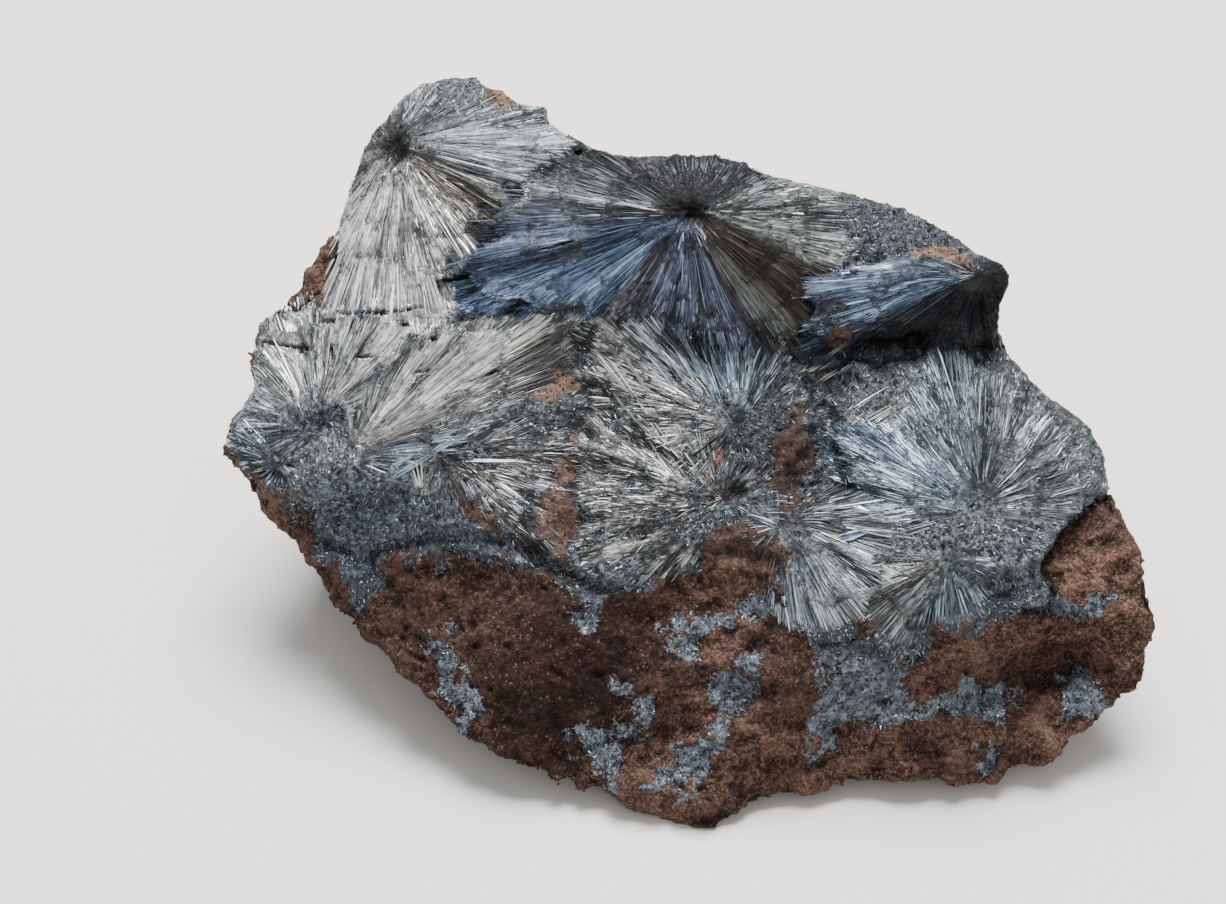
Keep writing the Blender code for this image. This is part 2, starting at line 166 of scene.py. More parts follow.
def smooth(bm, verts, factor, times):
    """Draws each point toward the middle of its neighbours."""
    for _ in range(times):
        bmesh.ops.smooth_vert(bm, verts=verts, factor=factor,
                              use_axis_x=True, use_axis_y=True, use_axis_z=True)


def refine(obj, wanted):
    """Smooths the voxels' steps away, and splits the faces that wanted(centre, normal) picks in four."""
    bm = bmesh.new()
    bm.from_mesh(obj.data)
    smooth(bm, bm.verts, 0.5, 2)
    bm.normal_update()
    picked = {edge for face in bm.faces if wanted(face.calc_center_median(), face.normal)
              for edge in face.edges}
    bmesh.ops.subdivide_edges(bm, edges=list(picked), cuts=1, use_grid_fill=True)
    bmesh.ops.triangulate(bm, faces=[face for face in bm.faces if len(face.verts) > 4])
    bm.to_mesh(obj.data)
    bm.free()


def keep_number(mesh, name, values):
    attribute = mesh.attributes.new(name, "FLOAT", "POINT")
    attribute.data.foreach_set("value", np.asarray(values, np.float32))


def keep_color(mesh, name, colors):
    attribute = mesh.attributes.new(name, "FLOAT_COLOR", "POINT")
    with_alpha = np.column_stack([colors, np.ones(len(colors))]).astype(np.float32)
    attribute.data.foreach_set("color", with_alpha.ravel())


def soft_step(value, low, high):
    share = np.clip((value - low) / (high - low), 0.0, 1.0)
    return share * share * (3.0 - 2.0 * share)


def off_middle(u, v, middle_u, middle_v, half_u, half_v):
    """How far places are from a patch's middle, squared: 1 at its half width or half height."""
    return ((u - middle_u) / half_u) ** 2 + ((v - middle_v) / half_v) ** 2


def flat_points(u, v):
    return np.column_stack([u, v, np.zeros(len(u))])


def looks_out(centre, normal):
    """Whether a face belongs to the front."""
    return normal.y * FACE_OUT[1] + normal.z * FACE_OUT[2] > FRONT_FACING


# Patches that interrupt the two colours: u, v, half width, half height, strength, ochre. A minus
# lays bare rock among the crystals, ochre or plain brown, and a plus is crystals on the rock.
PATCHES = (
    (-13.9, 23.2, 3.0, 1.3, -9.0, 1.0), (24.3, 35.7, 2.3, 1.1, -9.0, 0.8),
    (27.7, 34.9, 0.9, 0.8, -8.0, 0.8), (15.0, 27.6, 1.6, 0.9, -7.0, 0.3),
    (-17.6, 52.3, 1.4, 1.6, -9.0, 0.5), (9.9, 15.7, 1.8, 4.0, -9.0, 0.0),
    (-11.0, 14.7, 1.0, 3.2, -7.0, 0.2), (-12.6, 9.4, 2.4, 2.2, -7.5, 0.3), (2.6, 16.2, 0.8, 1.6, -6.5, 0.3),
    (5.4, 7.0, 3.4, 2.4, -8.0, 0.1), (1.8, 3.6, 2.8, 1.6, -5.5, 0.0), (-20.9, 10.8, 1.4, 1.6, -6.0, 0.0),
    (-18.4, 9.4, 1.0, 1.5, -6.0, 0.0), (-4.4, 1.8, 2.8, 1.3, -6.0, 0.0), (-36.4, 34.2, 2.4, 2.6, -8.0, 0.2),
    (-43.8, 13.4, 1.8, 1.8, -4.5, 0.1), (-41.2, 10.4, 1.4, 2.0, -4.5, 0.1),
    (-38.0, 6.6, 1.4, 1.8, -4.0, 0.0), (-35.2, 3.8, 1.4, 1.6, -4.0, 0.0), (20.6, 4.7, 0.6, 0.6, -6.0, 0.0),
    (-25.2, -1.7, 1.4, 1.6, 3.2, 0.0), (-22.6, -3.1, 1.3, 2.8, 3.4, 0.0), (-21.9, -7.4, 1.2, 2.4, 3.6, 0.0),
    (-11.4, -9.6, 1.0, 1.0, 4.0, 0.0), (-8.2, -12.5, 2.6, 3.2, 5.5, 0.0), (0.4, -13.5, 2.6, 2.8, 5.0, 0.0),
    (4.2, -6.4, 2.9, 2.5, 5.5, 0.0), (0.4, -0.6, 2.7, 1.6, 5.5, 0.0), (16.4, -5.8, 4.2, 4.5, 6.0, 0.0),
    (12.4, -10.6, 1.6, 1.8, 5.5, 0.0), (26.8, -7.6, 6.0, 2.0, 6.0, 0.0), (38.2, -6.6, 2.6, 2.8, 4.5, 0.0),
    (38.4, 1.8, 3.2, 1.6, 5.0, 0.0), (28.8, -13.0, 2.0, 1.4, 6.0, 0.0), (44.2, 5.1, 0.9, 1.4, 5.0, 0.0),
    (-20.8, -10.8, 1.0, 1.0, 5.0, 0.0), (-9.2, 1.2, 1.1, 1.7, 5.0, 0.0), (14.8, -0.6, 1.3, 1.1, 4.0, 0.0),
    (33.1, 2.3, 2.6, 1.6, 5.0, 0.0), (-33.2, 3.0, 1.0, 0.8, 4.0, 0.0), (4.6, 0.8, 2.6, 1.2, 4.5, 0.0),
    (-4.3, -9.0, 1.9, 1.7, 4.6, 0.0), (-5.8, -5.8, 1.3, 1.6, 3.2, 0.0), (-1.8, -15.0, 1.4, 1.2, 4.6, 0.0),
    (2.0, -11.2, 1.6, 1.8, 5.0, 0.0), (-22.9, -6.6, 1.0, 1.6, 3.6, 0.0), (-21.3, -9.2, 1.0, 1.4, 3.8, 0.0),
    (-32.2, 3.0, 1.4, 1.8, 4.0, 0.0),
)
# How ragged the crust's edge and the patches' edges are: size of the waves, their height, and a seed.
EDGE_SPAN = 3.0
EDGE_RAGGED = ((3.6, 2.4, 11.0), (1.5, 2.2, 23.0), (0.6, 1.2, 37.0))
PATCH_RAGGED = ((3.6, 2.4, 51.0), (1.2, 1.2, 63.0), (0.5, 0.5, 69.0))

# At its right end the crust stands off the rock as a ledge. Elsewhere one runs into the other.
LEDGE_U, LEDGE_BOTTOM, LEDGE_TOP = 30.0, -2.0, 12.0
HIGH_UP = 26.0
# The strip where one runs into the other, how deep the rock's skin lies under the crust and at its
# rim, how near the crust counts as beside it, what is too thin to hide it, and the ledge's groove.
BLEND = 3.2
UNDER_CRUST = 2.0
UNDER_RIM = 0.7
BESIDE = 0.4
THIN_CRUST = 0.3
FOOT_DEPTH = 0.7


def off_ledge(u, v):
    """1 where crust and rock run into each other, and 0 at the ledge and high up on the face."""
    ledge = soft_step(u, LEDGE_U, LEDGE_U + 4.0) * soft_step(v, LEDGE_BOTTOM - 3.0, LEDGE_BOTTOM)
    return (1.0 - ledge) * (1.0 - soft_step(v, HIGH_UP, HIGH_UP + 6.0))


def at_ledge(u, v):
    """1 along the ledge at the crust's right end, and 0 elsewhere."""
    return (1.0 - off_ledge(u, v)) * (1.0 - soft_step(v, LEDGE_TOP, LEDGE_TOP + 3.0))


def crystal_share(edge, places):
    """0 on brown rock to 1 on grey crystals, and how ochre the rock is. edge is in mm inside the crust."""
    points = np.asarray(places) / MM
    u, v, _ = to_face(places)
    value = np.clip(edge, -EDGE_SPAN, EDGE_SPAN)
    ragged = 0.2 + 0.8 * off_ledge(u, v)
    for size, height, seed in EDGE_RAGGED:
        value = value + ragged * height * noise_at(points, size, seed)
    shift_u, shift_v = np.zeros(len(u)), np.zeros(len(u))
    for size, height, seed in PATCH_RAGGED:
        shift_u = shift_u + height * noise_at(points, size, seed)
        shift_v = shift_v + height * noise_at(points, size, seed + 5.0)
    ochre = np.zeros(len(u))
    for *patch, strength, ochre_there in PATCHES:
        loose = 1.0 if strength > 0 else 0.6
        away = off_middle(u + loose * shift_u, v + loose * shift_v, *patch)
        value = value + strength * np.exp(-away ** 1.5)
        ochre = np.maximum(ochre, ochre_there * (1.0 - soft_step(away, 1.0, 4.0)))
    return soft_step(value, -1.5, 1.5), ochre


# Broken steps and hollows in the rock's face: u, v, half width, half height, and how far out.
STEPS = (
    (27.5, -0.8, 5.5, 2.4, 1.3), (24.0, -7.4, 7.5, 1.6, -0.9), (35.7, -4.3, 4.6, 2.4, -1.6),
    (32.0, -10.8, 4.5, 1.6, 0.9), (10.9, -11.3, 3.2, 1.7, 0.8), (1.3, -16.5, 4.0, 2.0, 0.5),
    (16.9, -6.3, 3.0, 3.4, -0.6), (13.5, -0.2, 3.4, 1.3, 0.8), (-13.0, -3.0, 9.0, 6.0, 0.4),
    (-8.2, -12.5, 2.4, 3.0, -0.5), (4.2, -6.4, 2.6, 2.2, -0.5),
)


def step_at(u, v):
    """How far the rock's face stands out there, in millimetres."""
    out = np.zeros(len(u))
    for *step, height in STEPS:
        out = out + height * np.exp(-off_middle(u, v, *step) ** 2)
    return out


def ledge_groove_and_shadow(u, v, edge):
    """1 along the ledge's foot, where the rock is sunk into a groove and painted dark as the ledge's
    shadow, and 0 elsewhere.
    """
    return at_ledge(u, v) * np.exp(-((edge + 0.3) / 0.7) ** 2)


# Where the brown is darker (minus) or sandier (plus) than usual: u, v, half width, half height, change.
# The lighter ones at 42, 3 and 37, 6 are painted light on the lit faces at the right end, and the
# darker one at 35.5, -4.2 is painted shadow in the hollow there.
TONES = (
    (-13.0, -2.5, 10.0, 7.0, -1.25), (-22.0, 3.5, 6.0, 3.5, -0.6), (35.5, -4.2, 5.0, 3.0, -0.35),
    (42.0, 3.0, 4.0, 7.0, 0.8), (37.0, 6.0, 4.0, 3.5, 0.4), (-1.6, -14.5, 6.0, 4.0, 0.5),
    (10.0, -12.0, 9.0, 3.0, 0.3), (36.0, -11.0, 6.0, 2.5, 0.6), (25.0, -1.0, 6.0, 2.6, 0.6),
    (1.0, 3.0, 6.0, 4.0, 0.3), (9.9, 15.7, 3.0, 4.0, -0.9), (-41.0, 12.0, 3.0, 6.0, 0.1),
    (6.0, 8.0, 4.0, 3.0, -0.6), (-12.0, 12.0, 3.0, 5.0, -0.5),
)


def rock_tone(places):
    """0 where the brown is darkest to 1 where it is sandiest, with painted light on the lit faces at the
    right end and painted shadow in the hollow beside them.
    """
    u, v, _ = to_face(places)
    points = np.asarray(places) / MM
    change = 0.8 * noise_at(points, 9.0, 67.0) + 0.5 * noise_at(points, 3.0, 68.0)
    for *spot, amount in TONES:
        change = change + amount * np.exp(-off_middle(u, v, *spot))
    return np.clip(0.42 + 0.42 * change, 0.0, 1.0)


# Where the crust ends on the rock, read once over the face: how far inside its edge each place is.
EDGE_STEP = 0.5
EDGE_FROM, EDGE_TO = (-56.0, -32.0), (56.0, 64.0)
rock_solid = tree_of(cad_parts["matrix"].data)
crust_solid = tree_of(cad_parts["pyrolusite_sprays"].data)
into_face = -Vector(FACE_OUT)
grid_u = np.arange(EDGE_FROM[0], EDGE_TO[0], EDGE_STEP)
grid_v = np.arange(EDGE_FROM[1], EDGE_TO[1], EDGE_STEP)
edge_grid = np.zeros((len(grid_u), len(grid_v)))
on_rock, on_crust = [], []
far_out = np.full(len(grid_v), FAR_OUT)
for place_u in grid_u:
    starts = from_face(np.full(len(grid_v), place_u), grid_v, far_out)
    for place_v, start in zip(grid_v, starts):
        rock_hit = rock_solid.ray_cast(Vector(start), into_face)[3]
        crust_hit = crust_solid.ray_cast(Vector(start), into_face)[3]
        if crust_hit is not None and (rock_hit is None or crust_hit < rock_hit):
            on_crust.append((place_u, place_v, 0.0))
        elif rock_hit is not None:
            on_rock.append((place_u, place_v, 0.0))
trees = []
for spots in (on_rock, on_crust):
    spot_tree = KDTree(len(spots))
    for number, spot in enumerate(spots):
        spot_tree.insert(spot, number)
    spot_tree.balance()
    trees.append(spot_tree)
for i, place_u in enumerate(grid_u):
    for j, place_v in enumerate(grid_v):
        spot = (place_u, place_v, 0.0)
        edge_grid[i, j] = trees[0].find(spot)[2] - trees[1].find(spot)[2]


def inside_crust(u, v):
    """Millimetres inside the crust's edge, and less than nothing on the rock."""
    i = np.clip((np.asarray(u) - EDGE_FROM[0]) / EDGE_STEP, 0, len(grid_u) - 1.001)
    j = np.clip((np.asarray(v) - EDGE_FROM[1]) / EDGE_STEP, 0, len(grid_v) - 1.001)
    low_i, low_j = i.astype(int), j.astype(int)
    part_i, part_j = i - low_i, j - low_j
    return (edge_grid[low_i, low_j] * (1 - part_i) * (1 - part_j)
            + edge_grid[low_i + 1, low_j] * part_i * (1 - part_j)
            + edge_grid[low_i, low_j + 1] * (1 - part_i) * part_j
            + edge_grid[low_i + 1, low_j + 1] * part_i * part_j)


def rock_shows(centre, normal):
    """Whether a face looks out of the specimen on the rock, or in the strip where the crust ends."""
    u, v, _ = to_face(centre)
    return looks_out(centre, normal) and inside_crust(u, v)[0] < BLEND


rock = skin_of(("matrix", "pyrolusite_sprays"), "iron_stained_rock", ROCK_VOXEL)
rock_places, rock_front = points_of(rock.data), normals_of(rock.data) @ FACE_OUT
u, v, _ = to_face(rock_places)
# The step in the solids where the crust's lower edge meets the rock is smoothed into a slope.
STRIP_SMOOTHING = 14
near = np.flatnonzero((np.abs(inside_crust(u, v)) < BLEND) & (rock_front > 0.1)
                      & (off_ledge(u, v) > 0.5) & (rock_places[:, 2] > 2.0 * MM))
bm = bmesh.new()
bm.from_mesh(rock.data)
bm.verts.ensure_lookup_table()
strip = [bm.verts[int(index)] for index in near]
smooth(bm, strip, 0.6, STRIP_SMOOTHING)
bm.to_mesh(rock.data)
bm.free()
refine(rock, rock_shows)
rock_places = points_of(rock.data)
rock_mm = rock_places / MM
rock_front = normals_of(rock.data) @ FACE_OUT
u, v, _ = to_face(rock_places)
rock_edge = inside_crust(u, v)
on_back = rock_front < FRONT_FACING
off_base = soft_step(rock_mm[:, 2], 0.05, BASE_KEEP)
# The dark hollow at the left is smoother than the rest.
calm = 1.0 - 0.65 * np.exp(-((u + 13.0) / 11.0) ** 4 - ((v + 2.5) / 8.0) ** 4)
lumps = calm * (0.65 * noise_at(rock_mm, 4.8, 3.0) + 0.5 * noise_at(rock_mm, 2.2, 5.0))
lumps = lumps + calm * (0.3 - 0.9 * np.abs(noise_at(rock_mm, 3.4, 71.0)))
grain = 0.21 * grains_at(rock_mm, 1.5, 9.0) * (0.4 + 0.6 * calm) + 0.19 * grains_at(rock_mm, 0.8, 2.0)
grain = grain + 0.13 * noise_at(rock_mm, 0.55, 2.0)
pores = -0.30 * soft_step(noise_at(rock_mm, 1.1, 40.0), 0.42, 0.6)
back_lumps = np.where(on_back, 0.6 * noise_at(rock_mm, 7.0, 17.0), 0.0)
covered = soft_step(rock_edge, 0.6, 2.4) * soft_step(rock_front, -0.2, 0.2)
steps = np.where(on_back, 0.0, step_at(u, v) - FOOT_DEPTH * ledge_groove_and_shadow(u, v, rock_edge))
outward = (lumps + grain + pores + back_lumps + steps) * (1.0 - covered) - UNDER_CRUST * covered
# Round the crust's own side it gives way, so that the crust shows there and no brown pokes out of it.
beside = np.array([crust_solid.find_nearest(Vector(place))[3] for place in rock_places]) < BESIDE * MM
outward = np.where(beside & (off_ledge(u, v) < 0.5) & (covered < 0.5), -UNDER_RIM, outward)
push(rock.data, outward * off_base)
rock_places = points_of(rock.data)


def depth_in(solid, place):
    """How deep a place lies inside a solid, and less than nothing in the air."""
    nearest, normal, _, _ = solid.find_nearest(place)
    return (nearest - place).dot(normal)


# Where the crust is too thin to hide it that deep, the rock keeps to its own solid.
for number in np.flatnonzero((covered > 0.9) | (beside & (off_ledge(u, v) < 0.5))):
    place = Vector(rock_places[number])
    if depth_in(crust_solid, place) < THIN_CRUST * MM and depth_in(rock_solid, place) < 0.0:
        rock_places[number] = rock_solid.find_nearest(place)[0]
rock_places[:, 2] = np.maximum(rock_places[:, 2], 0.0)
rock.data.vertices.foreach_set("co", rock_places.ravel())
rock.data.update()
rock_share, rock_ochre = crystal_share(rock_edge, rock_places)
rock_share[on_back] = rock_ochre[on_back] = 0.0
keep_number(rock.data, "crystal", rock_share)
keep_number(rock.data, "ochre", rock_ochre)
# Painted shadow: along the ledge's foot the rock's tone and height are lowered, so it is painted darker
# there.
ledge_shadow_paint = ledge_groove_and_shadow(u, v, rock_edge)
keep_number(rock.data, "tone", rock_tone(rock_places) * (1.0 - 0.8 * ledge_shadow_paint))
keep_number(rock.data, "dusk", 0.7 * soft_step(rock_edge, -3.0, -0.5))
# The height picks the brown: low places in the fine relief are painted darker, as shade in the crevices.
height = soft_step(grain + pores + 0.25 * lumps, -0.36, 0.32) * (1.0 - 0.9 * ledge_shadow_paint)
keep_number(rock.data, "height", height)
rock.data.shade_smooth()
rock_skin = tree_of(rock.data)


def linear(code):
    """An sRGB hex colour as linear red, green and blue."""
    parts = [int(code[i:i + 2], 16) / 255 for i in (1, 3, 5)]
    return tuple(c / 12.92 if c <= 0.04045 else ((c + 0.055) / 1.055) ** 2.4 for c in parts)


def feed(tree, node, inputs):
    """Sets a node's inputs. Each is a value, a hex colour, or the socket that feeds it."""
    for name, value in inputs.items():
        if isinstance(value, bpy.types.NodeSocket):
            tree.links.new(value, node.inputs[name])
        else:
            node.inputs[name].default_value = (*linear(value), 1.0) if isinstance(value, str) else value


def add(tree, kind, inputs, **settings):
    """Adds a node with its settings and links, and gives its outputs."""
    node = tree.nodes.new(kind)
    for name, value in settings.items():
        setattr(node, name, value)
    feed(tree, node, inputs)
    return node.outputs


def blank_material(name):
    material = bpy.data.materials.new(name)
    material.use_nodes = True
    return material, material.node_tree, material.node_tree.nodes["Principled BSDF"]


# In a Mix node for colours, input 0 is the share, 6 and 7 are the two colours, and output 2 is the
# result. In a Map Range node, input 0 is the value, 1 and 2 are the range it has (0 to 1 if left
# out), and 3 and 4 are the range it gets.
MIX, RANGE, READ = "ShaderNodeMix", "ShaderNodeMapRange", "ShaderNodeAttribute"
# The size of the rock's grit and of its sandy and dark specks, and how far grit frays the edge
# between brown and grey.
GRIT_SIZE, SPECK_SIZE = 0.42, 0.22
FRAY = 0.45


def brown_rock_color(tree, place):
    """Earthy brown, painted darker in the crevices as shade, ochre in places, with sandy grains and dark
    pores.
    """
    tone, height, ochre = [add(tree, READ, {}, attribute_name=name)["Fac"]
                           for name in ("tone", "height", "ochre")]
    grit = add(tree, "ShaderNodeTexNoise", {"Vector": place, "Scale": 1.0 / (GRIT_SIZE * MM),
                                            "Detail": 5.0, "Roughness": 0.75})["Fac"]
    grit = add(tree, RANGE, {0: grit, 1: 0.41, 2: 0.59})[0]
    cells = add(tree, "ShaderNodeTexVoronoi", {"Vector": place, "Scale": 1.0 / (SPECK_SIZE * MM)})
    cell = add(tree, "ShaderNodeSeparateColor", {"Color": cells["Color"]})
    edges = add(tree, RANGE, {0: cells["Distance"], 2: 0.7, 3: 0.25, 4: -0.4})[0]
    grit = add(tree, "ShaderNodeMath", {0: grit, 1: edges}, use_clamp=True)[0]
    # Low places take the deep brown and raised ones the high brown, which is painted shade in the crevices.
    deep = add(tree, MIX, {0: tone, 6: "#160a07", 7: "#33211b"}, data_type="RGBA")[2]
    high = add(tree, MIX, {0: tone, 6: "#3d251b", 7: "#8f6e5f"}, data_type="RGBA")[2]
    crevice_shade_by_height = add(tree, RANGE, {0: height, 3: 0.08, 4: 0.78})[0]
    by_grit = add(tree, RANGE, {0: grit, 3: -0.45, 4: 0.5})[0]
    raised = add(tree, "ShaderNodeMath", {0: crevice_shade_by_height, 1: by_grit}, use_clamp=True)[0]
    brown = add(tree, MIX, {0: raised, 6: deep, 7: high}, data_type="RGBA")[2]
    sandy = add(tree, RANGE, {0: cell["Red"], 1: 0.95, 4: 0.45})[0]
    sanded = add(tree, MIX, {0: sandy, 6: brown, 7: "#94705f"}, data_type="RGBA")[2]
    dark = add(tree, RANGE, {0: cell["Green"], 1: 0.84, 4: 0.6})[0]
    speckled = add(tree, MIX, {0: dark, 6: sanded, 7: "#140c0a"}, data_type="RGBA")[2]
    rusty = add(tree, MIX, {0: raised, 6: "#604a3f", 7: "#ab8a79"}, data_type="RGBA")[2]
    return add(tree, MIX, {0: ochre, 6: speckled, 7: rusty}, data_type="RGBA")[2], grit


def rock_with_crystals(name, crystal_color, roughness, metallic, bump_strength, bump_depth):
    """Brown rock that turns to crystals where the crystal share is high, along a gritty edge."""
    material, tree, shader = blank_material(name)
    place = add(tree, "ShaderNodeTexCoord", {})["Object"]
    brown, grit = brown_rock_color(tree, place)
    share = add(tree, READ, {}, attribute_name="crystal")["Fac"]
    fray = add(tree, RANGE, {0: grit, 3: -FRAY, 4: FRAY})[0]
    ragged = add(tree, "ShaderNodeMath", {0: share, 1: fray})[0]
    crisp = add(tree, RANGE, {0: ragged, 1: 0.42, 2: 0.58})[0]
    colors = {0: crisp, 6: brown, 7: crystal_color(tree, place)}
    bump = add(tree, "ShaderNodeBump", {"Strength": bump_strength, "Distance": bump_depth * MM,
                                        "Height": grit})
    feed(tree, shader, {"Base Color": add(tree, MIX, colors, data_type="RGBA")[2],
                        "Roughness": add(tree, RANGE, {0: crisp, 3: 0.88, 4: roughness})[0],
                        "Metallic": add(tree, RANGE, {0: crisp, 3: 0.0, 4: metallic})[0],
                        "Normal": bump["Normal"]})
    return material, shader


def flecks(tree, place, millimetres):
    """A shade from 0 to 1 for each crystal of that size."""
    cells = add(tree, "ShaderNodeTexVoronoi", {"Vector": place, "Scale": 1.0 / (millimetres * MM)})
    return add(tree, "ShaderNodeSeparateColor", {"Color": cells["Color"]})["Red"]


def blue_grey_crystals(tree, place):
    """Small crystals on the rock, each its own shade, and darker near the crust's edge."""
    fleck = flecks(tree, place, 0.4)
    bluish = add(tree, MIX, {0: fleck, 6: "#3a4047", 7: "#858e98"}, data_type="RGBA")[2]
    dusk = add(tree, READ, {}, attribute_name="dusk")["Fac"]
    return add(tree, MIX, {0: dusk, 6: bluish, 7: "#2d3239"}, data_type="RGBA")[2]


# Limonite-stained manganese rock, as broken: no gloss, colour varied from grain to grain, and a
# metallic glint only where crystals show.
rock_material, shader = rock_with_crystals("iron_stained_rock", blue_grey_crystals, 0.45, 0.5, 0.55, 0.2)
shader.inputs["Specular IOR Level"].default_value = 0.25
rock.data.materials.clear()
rock.data.materials.append(rock_material)
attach(rock, "root")
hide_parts("matrix")

# The crystal crust
# The grey pyrolusite that the needles grow from: crystals grown together into one ribbed, grainy
# crust. Each point belongs to a spray, whose rays run out from its centre, or to the grainy ground
# between sprays. It carries the colours and the broad ribs, and the needles that follow lie on it.
CRUST_VOXEL = 0.58
RIB_HEIGHT = 0.16
